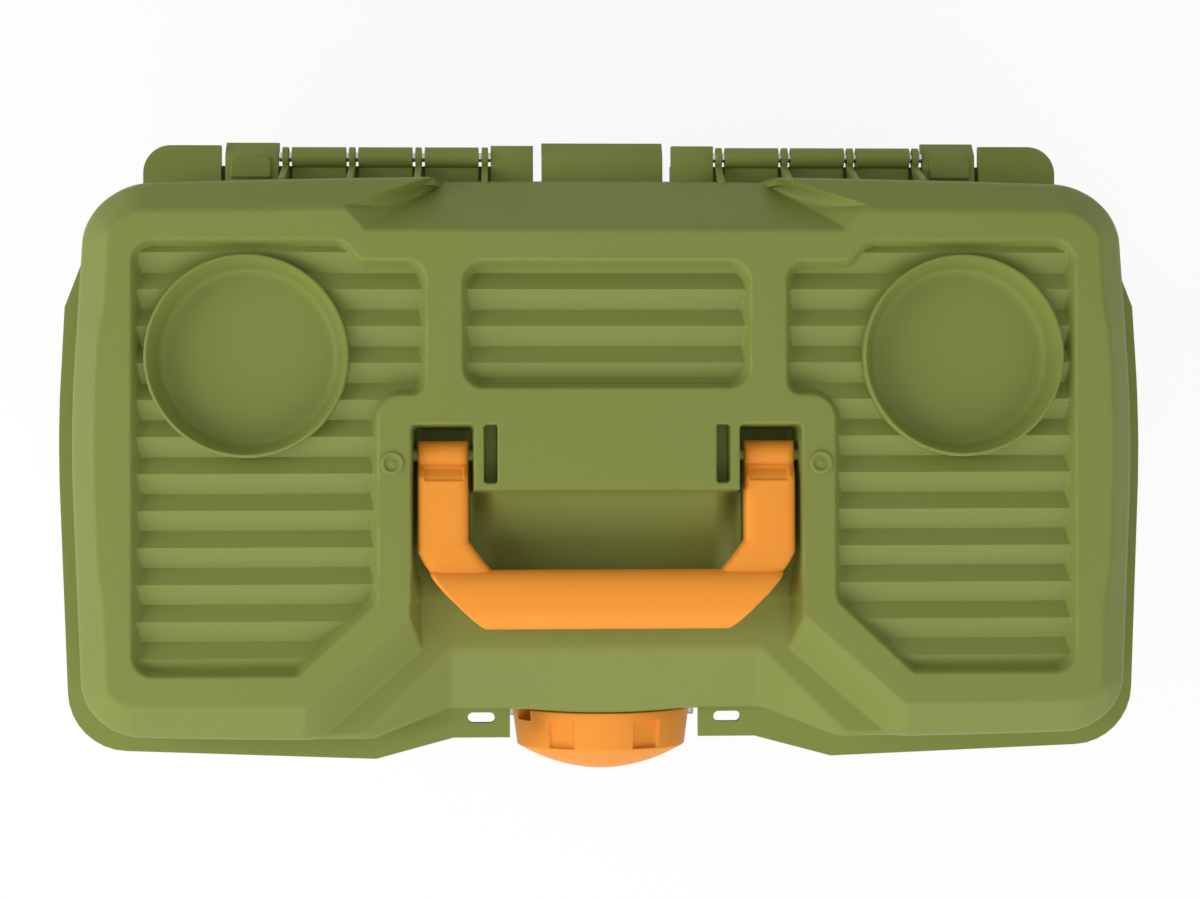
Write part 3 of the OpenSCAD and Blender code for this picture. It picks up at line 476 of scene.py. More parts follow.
def clear_plastic(name, colour):
    """Smoky clear plastic with a light haze and fine rubbed lines."""
    material, tree, out = blank(name)
    place = new_node(tree, "TexCoord", output=3)
    haze = noise(tree, place, 30.0)
    lines = noise(tree, drawn_out(tree, place, (30.0, 300.0, 900.0)), 1.0)
    shade = mixed(tree, haze, tinted(colour, 0.93), tinted(colour, 1.05))
    rough = 0.12 + haze * 0.1 + lines * 0.08
    bump = new_node(tree, "Bump", Strength=0.15, Distance=0.0001, Height=lines)
    shaded(tree, out, shade, rough, bump, IOR=1.49, Transmission_Weight=0.72)
    return material


def bright_steel(name, colour):
    """Plated steel, brushed along its length, with darker handling marks."""
    material, tree, out = blank(name)
    place = new_node(tree, "TexCoord", output=3)
    brush = noise(tree, drawn_out(tree, place, (120.0, 4000.0, 4000.0)), 1.0)
    marks = noise(tree, place, 220.0, 4.0)
    shade = mixed(tree, marks, tinted(colour, 0.86), tinted(colour, 1.12))
    rough = 0.26 + brush * 0.14
    bump = new_node(tree, "Bump", Strength=0.2, Distance=0.00004, Height=brush)
    shaded(tree, out, shade, rough, bump, Metallic=1.0)
    return material


def made(name, build, *values, **more):
    """The material of that name, built the first time it is asked for."""
    return bpy.data.materials.get(name) or build(name, *values, **more)


def olive_plastic(context):
    return made("olive moulded plastic", moulded_plastic, tuple(context.scene.cabinet.colours.olive))


def orange_plastic(context):
    return made("orange moulded plastic", moulded_plastic, tuple(context.scene.cabinet.colours.orange),
                grain=0.05, roughness=0.52, depth=0.0002, scale=1900.0)


def smoke_plastic(context):
    return made("smoky clear plastic", clear_plastic, tuple(context.scene.cabinet.colours.smoke))


def steel_finish(context):
    return made("plated steel", bright_steel, tuple(context.scene.cabinet.colours.steel))


# ---------------------------------------------------------------- lid

def even_lines(stops, cell):
    """Grid positions through every stop, with a multiple of three even cells between two stops."""
    parts = []
    for a, b in zip(stops, stops[1:]):
        cells = SHEET_STEP * max(1, round((b - a) / cell / SHEET_STEP))
        parts.append(np.linspace(a, b, cells, endpoint=False))
    return np.append(np.concatenate(parts), stops[-1])


def lid_lines(cell):
    """The skin's grid lines in x and y: one along every crisp edge and crease, and one close beside it."""
    half = [GROOVE_IN, GROOVE_IN + BESIDE, GROOVE_OUT - BESIDE, GROOVE_OUT, SLOT_IN - BESIDE, SLOT_IN,
            SLOT_OUT, SLOT_OUT + BESIDE, HALF_W - EDGE_R, HALF_W]
    ridges = RIB_FIRST + RIB_PITCH * np.arange(-10, 2)
    creases = [v for v in np.concatenate([ridges, ridges - RIB_FALL]) if abs(v) < WARP_Y]
    ends = [-FRONT, -FRONT + EDGE_R, -WARP_Y, WARP_Y, REAR - EDGE_R, REAR]
    pocket = [WELL_FRONT - BESIDE, WELL_FRONT, WELL_REAR - 1.6, WELL_REAR - BESIDE, WELL_REAR,
              SHEET_SPLIT_Y, SLOT_REAR - 1.6, SLOT_REAR, SLOT_REAR + BESIDE]
    xs = even_lines([-v for v in half[::-1]] + [0.0] + half, cell)
    return xs, even_lines(sorted(creases + ends + pocket), cell)


def lid_plan(a, b):
    """Bends a square grid into the lid's outline and gives each point's distance from the edge.

    A corner square becomes a quarter disc by x = p sqrt(1 - q*q/2). Then the sides lean in towards the
    front and rear, the long edges bow, and the front rows move back round the dial's recess.
    """
    radius = np.where(b < 0, FRONT_CORNER_R, REAR_CORNER_R)
    far_y = np.where(b < 0, FRONT, REAR)
    p = np.clip((np.abs(a) - (HALF_W - radius)) / radius, 0, 1)
    q = np.clip((np.abs(b) - (far_y - radius)) / radius, 0, 1)
    x = np.sign(a) * (np.minimum(np.abs(a), HALF_W - radius) + radius * p * np.sqrt(1 - q * q / 2))
    y = np.sign(b) * (np.minimum(np.abs(b), far_y - radius) + radius * q * np.sqrt(1 - p * p / 2))
    cx = np.maximum(np.abs(x) - (HALF_W - radius), 0)
    cy = np.maximum(np.abs(y) - (far_y - radius), 0)
    straight = np.minimum(HALF_W - np.abs(x), far_y - np.abs(y))
    d = np.maximum(np.where((cx > 0) & (cy > 0), radius - np.hypot(cx, cy), straight), 0)
    # sides: half the width at the front and rear, and what it gains for each millimetre from there
    front_half, front_lean = 220, 0.0404
    rear_half, rear_lean = 218.5, 0.0636
    side = lower(front_half + front_lean * (y + FRONT), rear_half + rear_lean * (REAR - y), 3.2)
    x = x * side / HALF_W
    # front edge: a recess with slanted ends for the dial, and a shallow nose in its middle
    recess_depth, recess_half, recess_slant = 11.0, 98.5, 30.6
    nose_depth, nose_half = 1.8, 33
    recess = recess_depth * np.clip((recess_half - np.abs(x)) / recess_slant, 0, 1)
    recess = recess - nose_depth * np.clip(1 - (x / nose_half) ** 2, 0, 1)
    front_bow = 2.1 * (np.abs(x) / 199) ** 3
    rear_bow = 0.6 - 3.2 * (np.abs(x) / 195) ** 2
    ahead = np.clip((-WARP_Y - y) / (FRONT - WARP_Y), 0, 1)
    behind = np.clip((y - WARP_Y) / (REAR - WARP_Y), 0, 1)
    y = y + ahead * (recess + front_bow) + behind * rear_bow
    return x, y, d


def slanted_border(ax, y, d, drop):
    """The border round the top face: a straight fall to the edge, narrower in the middle of the sides."""
    full, at_side, in_middle = 14.6, 2.0, 1.7
    to_end = np.minimum(REAR - y, y + FRONT)
    near_side = ramp(to_end - (HALF_W - ax), -9, 9)
    middle = ramp(y, -61, -44) * ramp(-y, -66, -51)
    width = full - (at_side + in_middle * middle) * near_side
    return lower(np.zeros_like(ax), -drop * (1 - d / width), 1.8)


def rear_slope(z, ax, y):
    """The slope at the rear centre, with a facet at each end that shares its height with the border's."""
    start, fall = 95.5, 1.35
    corner_x, tip_x, tip_y = 101.1, 110.3, 105.9
    outer = np.where(y < tip_y, corner_x + (y - start) * 0.885, tip_x - (y - tip_y) * 2.85)
    inner = corner_x - (y - start) * 1.40
    share = np.clip((outer - ax) / np.maximum(outer - inner, 0.2), 0, 1)
    share = 1 - (1 - share) ** 1.15
    slope = lower(np.zeros_like(ax), -fall * (y - start), 2.0)
    return z + np.where(y > 93, share, 0) * (np.minimum(slope, z) - z)


def ribs(y, height):
    """Height of the ribs: a straight fall towards the front, then a straight rise up to the next ridge."""
    u = (RIB_FIRST - y) % RIB_PITCH
    return height * np.where(u < RIB_FALL, 1 - u / RIB_FALL, (u - RIB_FALL) / (RIB_PITCH - RIB_FALL))


def side_panel_inside(ax, y):
    """Distance inside a side panel: a long rectangle with a slanted front corner and a step at the rear."""
    corners = [(95.7, -59.7), (128.4, -90.5), (197.5, -90.5), (197.5, 91.1), (110.2, 91.1), (102.2, 82.6),
               (75.4, 82.6), (75.4, 26.3), (95.7, 26.3)]
    return inside_distance(ax, y, rounded(corners, [8, 5, 9, 9, 7, 5, 8, 6, 10], 8))


def middle_panel_inside(ax, y):
    """Distance inside the middle panel, a rectangle with round corners."""
    return cornered(MIDDLE_HALF_W - ax, MIDDLE_HALF_D - np.abs(y - MIDDLE_Y), 9)


def ribbed_panel(z, inside, y, depth, rib_height):
    """A sunken panel: ribs on its floor, and a wall 2.6 times as steep as 45 degrees with a rounded lip."""
    floor = higher(-depth + ribs(y, rib_height), -2.6 * inside, 0.9)
    return lower(z, np.where(inside > -3, floor, CLEAR_ABOVE), 1.7)


def front_scoop(z, ax, y):
    """The scooped front: upright and slanted flanks, a flat floor and facets that fall to the recess."""
    upright = -4.75 * (SCOOP_X - ax)
    flank = -1.47 * ((SCOOP_X - ax) * 0.66 + (-66.5 - y) * 0.75)
    front_facet = -SCOOP_DROP + 0.639 * (y + 81.6)
    end_facet = -SCOOP_DROP - 0.9 * ((66.7 - ax) * 0.7 + (-82.8 - y) * 0.714)
    ground = lower(np.full_like(ax, -SCOOP_DROP), higher(front_facet, end_facet, 1.0), 1.6)
    scoop = higher(ground, lower(upright, flank, 1.2), 2.0)
    return np.where(y < SCOOP_Y, lower(z, scoop, 1.1), z)


def handle_pocket(z, ax, y):
    """The handle's pocket: an arm slot on each side, and between them the finger well.

    The well's floor falls from its rear edge as 1 - (1 - run)**2, steeply at first and then level.
    """
    slot = cornered(np.minimum(ax - SLOT_IN, SLOT_OUT - ax), SLOT_REAR - y, 2.2)
    slot = np.where(y > SCOOP_Y, slot, -9)
    well = np.minimum(WELL_HALF - ax, np.minimum(WELL_REAR - y, y - WELL_FRONT))
    inside = np.maximum(slot, well)
    run = np.clip((WELL_REAR - y) / 36.7, 0, 1)
    well_drop = 11 + 17 * (1 - (1 - run) ** 2)
    slot_drop = 24 - 5 * ramp(-y, 36, 60)
    drop = slot_drop + (well_drop - slot_drop) * (1 - ramp(ax, 46, 57)) * (y < WELL_REAR)
    draft = np.where(ax > 70, 1.4 + 2.4 * ramp(-y, 44, 60), 1.4)
    foot = 4.0 - 3.0 * ramp(-y, 44, 60)
    return np.where(inside > -1, np.minimum(z, pit(inside, drop, 0.9, draft, foot)), z)


def plate_grooves(z, ax, y):
    """The two narrow grooves in the plate between the arms."""
    to_ends = np.minimum(SLOT_REAR - y, y - GROOVE_FRONT)
    inside = cornered(np.minimum(ax - GROOVE_IN, GROOVE_OUT - ax), to_ends, 1.2)
    return np.where(inside > -1, np.minimum(z, pit(inside, 10.0, 0.6, 0.3, 0.8)), z)


def lid_height(x, y, d, size):
    """Height of the lid's outer skin above its top face at each point, d in from the edge.

    The skin starts as the slanted border, and each hollow is then cut in as the lower of two heights.
    """
    ax = np.abs(x)
    z = slanted_border(ax, y, d, size.chamfer / MM)
    z = rear_slope(z, ax, y)
    for inside in (side_panel_inside(ax, y), middle_panel_inside(ax, y)):
        z = ribbed_panel(z, inside, y, size.panel_depth / MM, size.rib_height / MM)
    # a flat pit below each cup well, whose own piece stands in it
    r = np.hypot(ax - CUP_X, y - CUP_Y)
    z = z + (-size.cup_depth / MM - 1.6 - z) * ramp(-r, -42.2, -41.2)
    z = front_scoop(z, ax, y)
    z = handle_pocket(z, ax, y)
    z = plate_grooves(z, ax, y)
    # rolled edge that meets the upright skirt
    edge = np.clip(1 - d / EDGE_R, 0, 1)
    return z - EDGE_R * (1 - np.sqrt(1 - edge * edge))


def lowest_near(z, reach):
    """The lowest height within that many grid steps in both directions."""
    for axis in (0, 1):
        out = z.copy()
        edge = np.arange(z.shape[axis]).reshape([-1, 1] if axis == 0 else [1, -1])
        for s in range(1, reach + 1):
            out = np.where(edge < z.shape[axis] - s, np.minimum(out, np.roll(z, -s, axis)), out)
            out = np.where(edge >= s, np.minimum(out, np.roll(z, s, axis)), out)
        z = out
    return z


def lid_skin(size, on_lid):
    """Builds the skin as eight sheets and gives its grid of top points.

    The top is the height formula, and the underside is the lowest height near by, less the wall.
    """
    cell = size.cell / MM
    wall = size.thickness / MM
    xs, ys = lid_lines(cell)
    a, b = np.meshgrid(xs, ys, indexing="ij")
    x, y, d = lid_plan(a, b)
    z = lid_height(x, y, d, size) + TOP_Z
    under = np.maximum(lowest_near(z, int(round(wall / cell))) - wall, SKIRT_Z)
    top = np.stack([x, y, z], -1)
    bottom = np.stack([x, y, under], -1)
    split = SLOT_OUT + BESIDE
    cols = [0] + [int(np.argmin(np.abs(xs - v))) for v in (-split, 0.0, split)] + [len(xs) - 1]
    rows = [0, int(np.argmin(np.abs(ys - SHEET_SPLIT_Y))), len(ys) - 1]
    for i, side in enumerate(("far_left", "left", "right", "far_right")):
        for j, end in enumerate(("front", "rear")):
            fine = np.s_[cols[i]:cols[i + 1] + 1, rows[j]:rows[j + 1] + 1]
            coarse = np.s_[cols[i]:cols[i + 1] + 1:SHEET_STEP, rows[j]:rows[j + 1] + 1:SHEET_STEP]
            sheet("lid_skin_%s_%s" % (end, side), top[fine], bottom[coarse], SHEET_STEP, **on_lid)
    return top


def lid_skirt(top, wall, on_lid):
    """Builds the upright skirt: one closed section carried round the edge of the skin's top points.

    The section's points are in from the edge and up from the foot. Its bead swells out at the sides and
    the front corners, and fades out before the hinge and the dial's recess.
    """
    ring = np.concatenate([top[:-1, 0], top[-1, :-1], top[:0:-1, -1], top[0, :0:-1]])
    along = np.roll(ring, -1, 0) - np.roll(ring, 1, 0)
    inward = np.stack([-along[:, 1], along[:, 0]], 1)
    inward /= np.linalg.norm(inward, axis=1)[:, None]
    rim = np.maximum(ring[:, 2] - wall - SKIRT_Z, 1.2)
    swell = (1 - ramp(ring[:, 1], 60, 80)) * ramp(np.abs(ring[:, 0]), 100, 112)
    bead = 0.05 - 1.2 * swell
    section = [(0.05, rim), (0.05, 0.9 + 1.9 * swell), (0.05 - 0.95 * swell, 0.8 + 1.5 * swell),
               (bead, 0.7 + swell), (bead, 0.5), (0.3 - 1.1 * swell, 0.1), (0.9, 0.0),
               (wall - 0.8, 0.0), (wall, 0.8), (wall, rim)]
    rows = []
    for inset, rise in section:
        inset, rise, _ = np.broadcast_arrays(inset, rise, swell)
        rows.append(np.column_stack([ring[:, :2] + inward * inset[:, None], SKIRT_Z + rise]))
    band("lid_skirt", np.stack(rows, 1), **on_lid)


def hinge_ears(on_lid):
    """Builds the eight hinge ears: flat plates with a round nose over the rod and a root up the skirt."""
    skin_y, foot_z = 116.6, 285.0
    turn = np.linspace(-0.35, 1.15, 16) * np.pi
    nose = np.stack([ROD_Y + EAR_R * np.sin(turn), ROD_Z + EAR_R * np.cos(turn)], 1)
    for side, name in SIDES:
        for k in range(4):
            at = side * (EAR_FIRST - EAR_PITCH * k)
            root = 300.0 if k < 3 else 293.0
            shape = np.concatenate([[(skin_y, foot_z), (skin_y, root), (skin_y + 3, root)], nose])
            ear = "lid_hinge_ear_%d_%s" % (k + 1, name)
            prism(ear, shape, at - EAR_T / 2, at + EAR_T / 2, 0.35, **on_lid)


def latch_lug(on_lid):
    """Builds the lug that holds the strike, a plate that hangs behind the front wall."""
    outline = [(-9, 258.9), (9, 258.9), (9, 293.0), (-9, 293.0)]
    prism("lid_latch_lug", outline, -97.5, -93.5, 0.5, axis="y", **on_lid)


def wells_and_buttons(size, on_lid):
    """Builds the two cup wells and the two small buttons as turned profiles of radius and height."""
    deep = size.cup_depth / MM
    bowl = [(0.02, -deep - 1.9), (40.4, -deep - 1.9), (42.0, -12.4), (42.5, -8.6), (42.5, -0.9),
            (42.2, -0.4), (41.8, -0.25), (41.2, -0.3), (40.9, -0.8), (38.3, -deep + 4.2),
            (37.6, -deep + 2.0), (36.6, -deep + 0.7), (35.0, -deep + 0.1), (33.0, -deep), (0.02, -deep)]
    button = [(0.02, -1.4), (4.9, -1.4), (4.9, 0.45), (4.65, 0.72), (4.3, 0.8), (3.5, 0.8), (3.2, 0.6),
              (2.9, -0.2), (1.5, -0.2), (1.2, 0.2), (0.9, 0.3), (0.02, 0.3)]
    for side, name in SIDES:
        turned("lid_cup_well_" + name, bowl, (side * CUP_X, CUP_Y, TOP_Z), 192, sharp=50, **on_lid)
        turned("lid_button_" + name, button, (side * BUTTON_X, BUTTON_Y, TOP_Z), 64, sharp=50, **on_lid)


def pin_bosses(on_lid):
    """Builds the round bosses that hold the handle's pins, one at each side of each arm slot."""
    turn = np.linspace(0, 2 * np.pi, 28, endpoint=False)
    for side, hand in SIDES:
        for name, start, end in (("outer", 82.2, 89.0), ("inner", 51.6, 55.2)):
            rings = []
            for at, share in ((start, 0.9), (start + 0.4, 1.0), (end - 0.5, 1.0), (end, 0.9)):
                y = PIVOT_Y + BOSS_R * share * np.cos(turn)
                z = PIVOT_Z + BOSS_R * share * np.sin(turn)
                rings.append(np.stack([np.full_like(y, side * at), y, z], 1))
            loft("lid_pin_boss_%s_%s" % (name, hand), rings, **on_lid)


def riding(material, body, slot, node):
    """What pieces of one moulding share: their material, the body they ride on, their slot and their node."""
    return {"material": material, "body": body, "slot": slot, "stands_for": (node,)}


class CABINET_OT_lid(Operator):
    """Builds the lid: eight sheets of one moulded skin and its skirt"""
    bl_idname = "cabinet.lid"
    bl_label = "Lid"

    def execute(self, context):
        size = context.scene.cabinet.lid
        on_lid = riding(olive_plastic(context), "lid", "olive_lid", "lid")
        top = lid_skin(size, on_lid)
        lid_skirt(top, size.thickness / MM, on_lid)
        return {"FINISHED"}


class CABINET_OT_lid_fittings(Operator):
    """Builds what is moulded on the lid: hinge ears, latch lug, cup wells, buttons and pin bosses"""
    bl_idname = "cabinet.lid_fittings"
    bl_label = "Lid fittings"

    def execute(self, context):
        on_lid = riding(olive_plastic(context), "lid", "olive_lid", "lid")
        hinge_ears(on_lid)
        latch_lug(on_lid)
        wells_and_buttons(context.scene.cabinet.lid, on_lid)
        pin_bosses(on_lid)
        return {"FINISHED"}


# ---------------------------------------------------------------- handle

def squircle(steps, power):
    """Points round a rounded square: the cosine and sine raised to 2 / power, with their signs kept."""
    t = np.linspace(0, 2 * np.pi, steps, endpoint=False)
    c, s = np.cos(t), np.sin(t)
    return np.sign(c) * np.abs(c) ** (2 / power), np.sign(s) * np.abs(s) ** (2 / power)


def grip_bar(size, on_handle):
    """Builds the grip: a rounded square section drawn out along x to a reach that depends on y.

    So its ends are cut slantwise, and the last rings at each end shrink a little to round the cut.
    """
    c, s = squircle(72, 2.7)
    y = size.grip_width / MM / 2 * c
    z = size.grip_height / MM / 2 * s
    reach = np.interp(GRIP_Y + y, [-71.9, -68.2, -64.5, -56.5, -49.7, -46.9],
                      [51.7, 56.2, 60.1, 67.5, 72.5, 74.3])
    end = np.concatenate([[-1.0], -1 + 0.003 * np.arange(1, 4) ** 1.5])
    eased = [0.86, 0.95, 0.985, 1.0]
    stations = np.concatenate([end, np.linspace(-0.97, 0.97, 90), -end[::-1]])
    shrink = np.concatenate([eased, np.ones(90), eased[::-1]])
    rings = [np.stack([u * reach, GRIP_Y + y * k, GRIP_Z + z * k], 1) for u, k in zip(stations, shrink)]
    loft("handle_grip", rings, sharp=32, **on_handle)


def handle_arms(on_handle):
    """Builds the two arms: a flat rounded section between an inner and an outer edge.

    Near the pins the section is as high as a circle of the pivot's radius, and in front of them its top
    rises to the grip, with a shallow pocket of 1.5 mm behind the rise.
    """
    c, s = squircle(56, 5.5)
    t = np.concatenate([np.linspace(0, 0.2, 60), np.linspace(0.2, 1, 60)[1:]])
    keys = [0, 0.2, 0.6, 0.70, 0.80, 0.92, 1]
    outer_x = np.interp(t, keys, [79.3, 79.3, 79.3, 76.8, 72.9, 67.2, 63.5])
    outer_y = np.interp(t, keys, [7.3, -12, -39.6, -44.3, -49.7, -56.5, -60.5])
    inner_x = np.interp(t, keys, [58.1, 58.1, 58.1, 55.5, 51.8, 47.8, 45.0])
    inner_y = np.interp(t, keys, [7.3, -12, -34.6, -38.4, -43.2, -47.8, -51.0])
    mid_x, mid_y = (outer_x + inner_x) / 2, (outer_y + inner_y) / 2
    half_x, half_y = (outer_x - inner_x) / 2, (outer_y - inner_y) / 2
    barrel = np.sqrt(np.maximum(PIVOT_R ** 2 - (mid_y - PIVOT_Y) ** 2, 0.02))
    arm_top = ARM_TOP + ARM_RISE * ramp(-mid_y, 1.5, 9.0)
    high = np.where(mid_y > PIVOT_Y, PIVOT_Z + barrel, np.maximum(PIVOT_Z + barrel, arm_top))
    low = np.where(mid_y > -3.0, PIVOT_Z - barrel, ARM_FOOT)
    sunk = high - 1.5 * ramp(-mid_y, 3.6, 4.6) * ramp(mid_y, -9.9, -8.7)
    in_pocket = (c > -0.8) & (c < 0.7) & (s > 0.5)
    z = ((high + low) / 2)[:, None] + ((high - low) / 2)[:, None] * s
    z = np.where(in_pocket, np.minimum(z, sunk[:, None]), z)
    for side, name in SIDES:
        x = side * (mid_x[:, None] + half_x[:, None] * c)
        y = mid_y[:, None] + half_y[:, None] * c
        loft("handle_arm_" + name, np.stack([x, y, z], -1), sharp=40, **on_handle)


class CABINET_OT_handle(Operator):
    """Builds the swing handle: a rounded grip bar cut slantwise and two flatter arms with pivot barrels"""
    bl_idname = "cabinet.handle"
    bl_label = "Handle"

    def execute(self, context):
        on_handle = riding(orange_plastic(context), "handle", "orange_handle", "handle")
        grip_bar(context.scene.cabinet.handle, on_handle)
        handle_arms(on_handle)
        return {"FINISHED"}


# ---------------------------------------------------------------- dial

def dial_profile(radius):
    """The dial's radius and depth from its back to its front: a plain back, a skirt and a domed face.

    The skirt narrows by 2.1 over 16 of depth, and the dome rises as 1 - v*v.
    """
    back = [(0.02, DIAL_BACK), (radius * 0.5, DIAL_BACK), (radius - 6.2, DIAL_BACK),
            (radius - 0.8, DIAL_BACK), (radius - 0.25, DIAL_BACK + 0.12), (radius, DIAL_BACK + 0.4)]
    skirt = [(radius - 2.1 * (at - SKIRT_BACK) / 16, at) for at in
             (SKIRT_BACK, 113.0, 114.45, 114.5, 115.3, 115.4, 118.0, 121.0, 124.0, 126.5, 126.65, 127.1)]
    face_r = radius - 2.4
    dome = [(face_r * v, DIAL_FACE + DOME_RISE * (1 - v * v)) for v in np.linspace(0.985, 0.01, 34)]
    return np.array(back + skirt + [(face_r, DIAL_FACE)] + dome).T


class CABINET_OT_dial(Operator):
    """Builds the dial: a tapered, domed knob with four finger flutes and an index notch"""
    bl_idname = "cabinet.dial"
    bl_label = "Dial"

    def execute(self, context):
        size = context.scene.cabinet.dial
        radius = size.radius / MM
        angle = np.linspace(0, 2 * np.pi, size.steps, endpoint=False)
        profile, depth = dial_profile(radius)
        r = np.repeat(profile[:, None], size.steps, 1)
        depth = np.repeat(depth[:, None], size.steps, 1)
        on_skirt = (depth > FLUTE_BACK) & (depth < FLUTE_FRONT)
        for centre in np.radians(FLUTES):
            turn = np.abs((angle - centre + np.pi) % (2 * np.pi) - np.pi)
            sink = size.flute_depth / MM * (1 - ramp(turn, math.radians(8.6), math.radians(9.9)))
            sink = sink * (0.75 + 0.25 * np.cos(np.minimum(turn * 9, np.pi / 2)))
            r = np.where(on_skirt, r - sink, r)
        in_notch = np.abs(angle - math.radians(NOTCH)) < math.radians(8.5)
        r = np.where(in_notch & (depth < 115.35), np.minimum(r, radius - 6.0), r)
        rings = np.stack([r * np.cos(angle), -depth, DIAL_Z + r * np.sin(angle)], -1)
        on_dial = riding(orange_plastic(context), "dial", "orange_dial", "dial_knob")
        loft("dial_face", rings, sharp=34, **on_dial)
        return {"FINISHED"}


# ---------------------------------------------------------------- body, drawers and metal parts

def clip_pads(olive):
    """Builds the raised pad on each clip tab, a low plate with two round corners."""
    inner, outer, front, rear = 143.5, 161.4, 122.0, 131.4
    corners = [(inner, front), (outer, front), (outer, rear), (inner, rear)]
    pad = rounded(corners, [1, 1, 3, 3], 6)
    for side, name in SIDES:
        outline = (pad * (side, 1))[::side]
        prism("clip_pad_" + name, outline, 277.0, 279.4, 0.7, axis="z", material=olive, body="cabinet",
              slot="olive_body")


class CABINET_OT_body(Operator):
    """Builds the body shell, the clip pads, the drawer runners and the dividers of the top bay"""
    bl_idname = "cabinet.body"
    bl_label = "Body"

    def execute(self, context):
        olive = olive_plastic(context)
        softened("body_shell", olive, "cabinet", 0.6)
        clip_pads(olive)
        for _, name in SIDES:
            softened("runner_frame_" + name, olive, "cabinet", 0.4)
            softened("bay_divider_" + name, olive, "cabinet", 0.4)
        return {"FINISHED"}


class CABINET_OT_drawers(Operator):
    """Builds the four clear drawers and their loose dividers"""
    bl_idname = "cabinet.drawers"
    bl_label = "Drawers"

    def execute(self, context):
        smoke = smoke_plastic(context)
        for k in range(1, 5):
            drawer = "drawer_%d" % k
            softened(drawer, smoke, drawer, 0.6)
            softened(drawer + "_dividers", smoke, drawer, 0.3)
        return {"FINISHED"}


def finished_in(node, material):
    """Gives a solid that stays visible its material."""
    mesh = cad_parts[node].data
    mesh.materials.clear()
    mesh.materials.append(material)


class CABINET_OT_metal(Operator):
    """Gives the rods and latch parts their plated steel, and the handle's pins the lid's plastic"""
    bl_idname = "cabinet.metal"
    bl_label = "Metal parts"

    def execute(self, context):
        steel = steel_finish(context)
        for node in ("hinge_rod_left", "hinge_rod_right", "latch_strike", "latch_spindle", "latch_cam",
                     "cam_washer", "cam_screw"):
            finished_in(node, steel)
        for node in ("handle_pin_left", "handle_pin_right"):
            finished_in(node, olive_plastic(context))
        return {"FINISHED"}


# ---------------------------------------------------------------- stage

def seen_rays(tree):
    """1 on camera, glossy and transmission rays, and 0 on the rays that light the object."""
    path = tree.nodes.new("ShaderNodeLightPath")
    kinds = ("Is Camera Ray", "Is Glossy Ray", "Is Transmission Ray")
    camera, glossy, through = (Wire(tree, path.outputs[kind]) for kind in kinds)
    return camera + glossy + through


def pale_floor():
    """Builds the floor: grey to the object's light, and nearly white, with a shadow, where it is seen."""
    material, tree, out = blank("pale floor")
    seen = seen_rays(tree)
    grey = new_node(tree, "BsdfDiffuse", Color=(0.4, 0.4, 0.4, 1))
    pale = new_node(tree, "BsdfDiffuse", Color=(0.92, 0.92, 0.92, 1))
    matt = new_node(tree, "MixShader", _0=seen, _1=grey, _2=pale)
    glow = new_node(tree, "Emission", Color=WHITE, Strength=1.03)
    feed(tree, out.inputs["Surface"], new_node(tree, "MixShader", _0=seen * 0.84, _1=matt, _2=glow))
    n, reach, level = 25, 16000, -0.2
    x, y = np.meshgrid(np.linspace(-reach, reach, n), np.linspace(-reach, reach, n), indexing="ij")
    points = np.stack([x, y, np.full_like(x, level)], -1)
    mesh = bpy.data.meshes.new("floor")
    mesh.from_pydata((points.reshape(-1, 3) * MM).tolist(), [], grid_faces(n, n).tolist())
    mesh.materials.append(material)
    floor = bpy.data.objects.new("floor", mesh)
    bpy.context.scene.collection.objects.link(floor)


def soft_room(scene):
    """Sets the world: an even light on the object, and white where it is seen."""
    world = bpy.data.worlds.new("soft room")
    world.use_nodes = True
    tree = world.node_tree
    tree.nodes.clear()
    out = tree.nodes.new("ShaderNodeOutputWorld")
    light = new_node(tree, "Background", Color=WHITE, Strength=0.455)
    white = new_node(tree, "Background", Color=WHITE, Strength=1.0)
    feed(tree, out.inputs["Surface"], new_node(tree, "MixShader", _0=seen_rays(tree), _1=light, _2=white))
    scene.world = world


def softbox(scene, name, place, wide, tall, watts):
    """Adds a rectangular lamp that faces the cabinet's upper half."""
    light = bpy.data.lights.new(name, "AREA")
    light.shape = "RECTANGLE"
    light.size = wide
    light.size_y = tall
    light.energy = watts
    lamp = bpy.data.objects.new(name, light)
    scene.collection.objects.link(lamp)
    lamp.location = place
    towards = Vector(LAMP_AIM) - Vector(place)
    lamp.rotation_euler = towards.to_track_quat("-Z", "Y").to_euler()


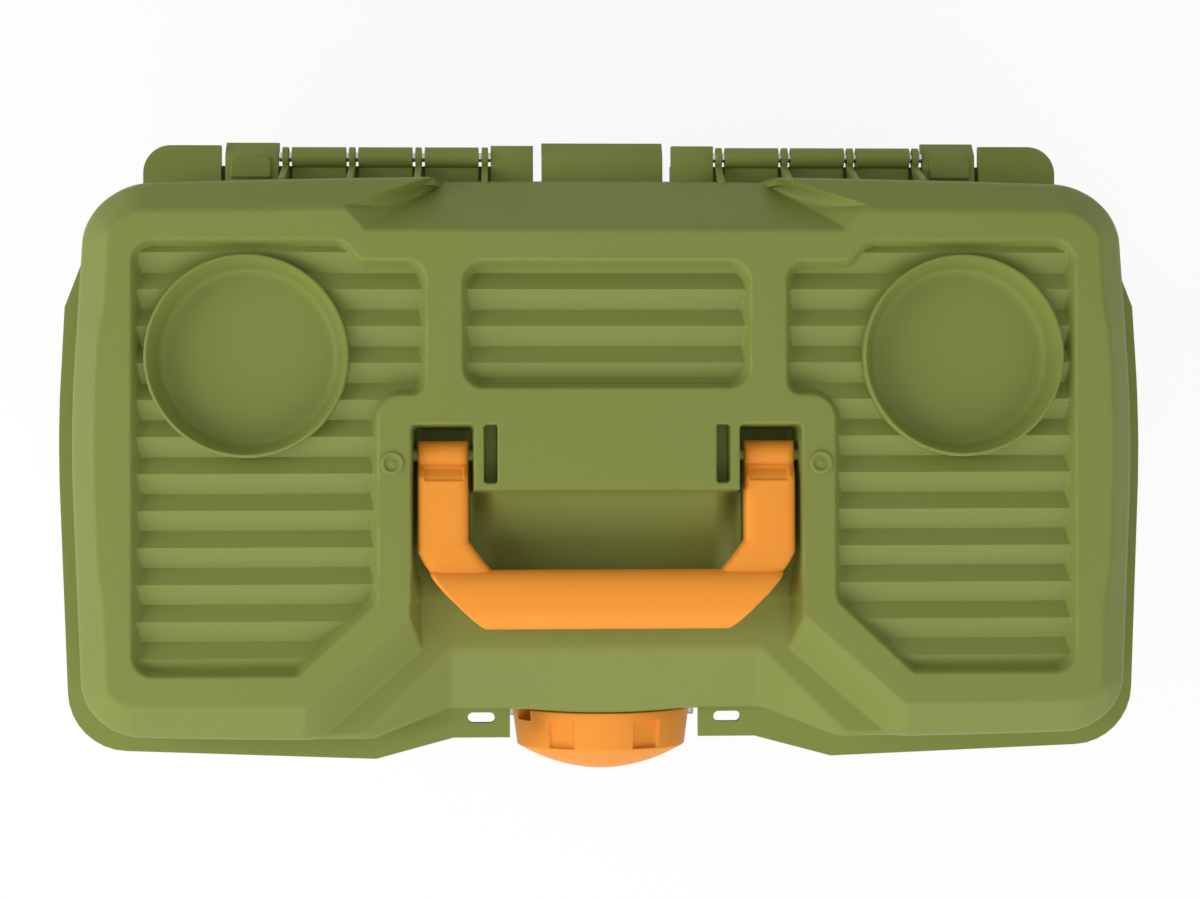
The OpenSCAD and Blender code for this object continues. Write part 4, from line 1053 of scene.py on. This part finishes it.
def photo_camera(scene):
    """Adds the camera above the lid, at the photograph's place and angle."""
    camera = bpy.data.cameras.new("camera")
    camera.sensor_width = 36
    camera.sensor_fit = "HORIZONTAL"
    camera.lens = 73.985
    view = bpy.data.objects.new("camera", camera)
    scene.collection.objects.link(view)
    view.location = (-0.04438, -0.00571, 1.35231)
    view.rotation_euler = (0.0088, -0.0401, -0.0029)
    scene.camera = view


class CABINET_OT_stage(Operator):
    """Sets the pale floor, the soft light and the camera above the lid"""
    bl_idname = "cabinet.stage"
    bl_label = "Stage"

    def execute(self, context):
        scene = context.scene
        pale_floor()
        soft_room(scene)
        softbox(scene, "front softbox", (0.0, -1.3, 1.15), 2.0, 1.7, 16.4)
        softbox(scene, "left softbox", (-1.5, 0.0, 1.0), 0.9, 1.4, 14.0)
        softbox(scene, "right softbox", (1.5, 0.0, 1.0), 0.9, 1.4, 1.0)
        photo_camera(scene)
        scene.view_settings.view_transform = "Standard"
        return {"FINISHED"}


OPERATORS = (CABINET_OT_stage, CABINET_OT_lid, CABINET_OT_lid_fittings, CABINET_OT_handle, CABINET_OT_dial,
             CABINET_OT_body, CABINET_OT_drawers, CABINET_OT_metal)


class CABINET_PT_panel(Panel):
    """Lists the groups of pieces and their sizes"""
    bl_idname = "CABINET_PT_panel"
    bl_label = "Tackle cabinet"
    bl_space_type = "VIEW_3D"
    bl_region_type = "UI"
    bl_category = "Cabinet"

    def draw(self, context):
        sizes = context.scene.cabinet
        for group in (sizes.lid, sizes.handle, sizes.dial, sizes.colours):
            box = self.layout.box()
            for key in group.__annotations__:
                box.prop(group, key)
        for operator in OPERATORS:
            self.layout.operator(operator.bl_idname)


CLASSES = (LidSizes, HandleSizes, DialSizes, Colours, Cabinet) + OPERATORS + (CABINET_PT_panel,)


def register():
    for cls in CLASSES:
        bpy.utils.register_class(cls)
    bpy.types.Scene.cabinet = PointerProperty(type=Cabinet)


def unregister():
    del bpy.types.Scene.cabinet
    for cls in reversed(CLASSES):
        bpy.utils.unregister_class(cls)


def main():
    """Registers the add-on and runs every operator in order."""
    register()
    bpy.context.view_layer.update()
    for operator in OPERATORS:
        group, name = operator.bl_idname.split(".")
        if getattr(getattr(bpy.ops, group), name)() != {"FINISHED"}:
            raise RuntimeError(operator.bl_label + " wasn't built")


if __name__ == "__main__":
    main()
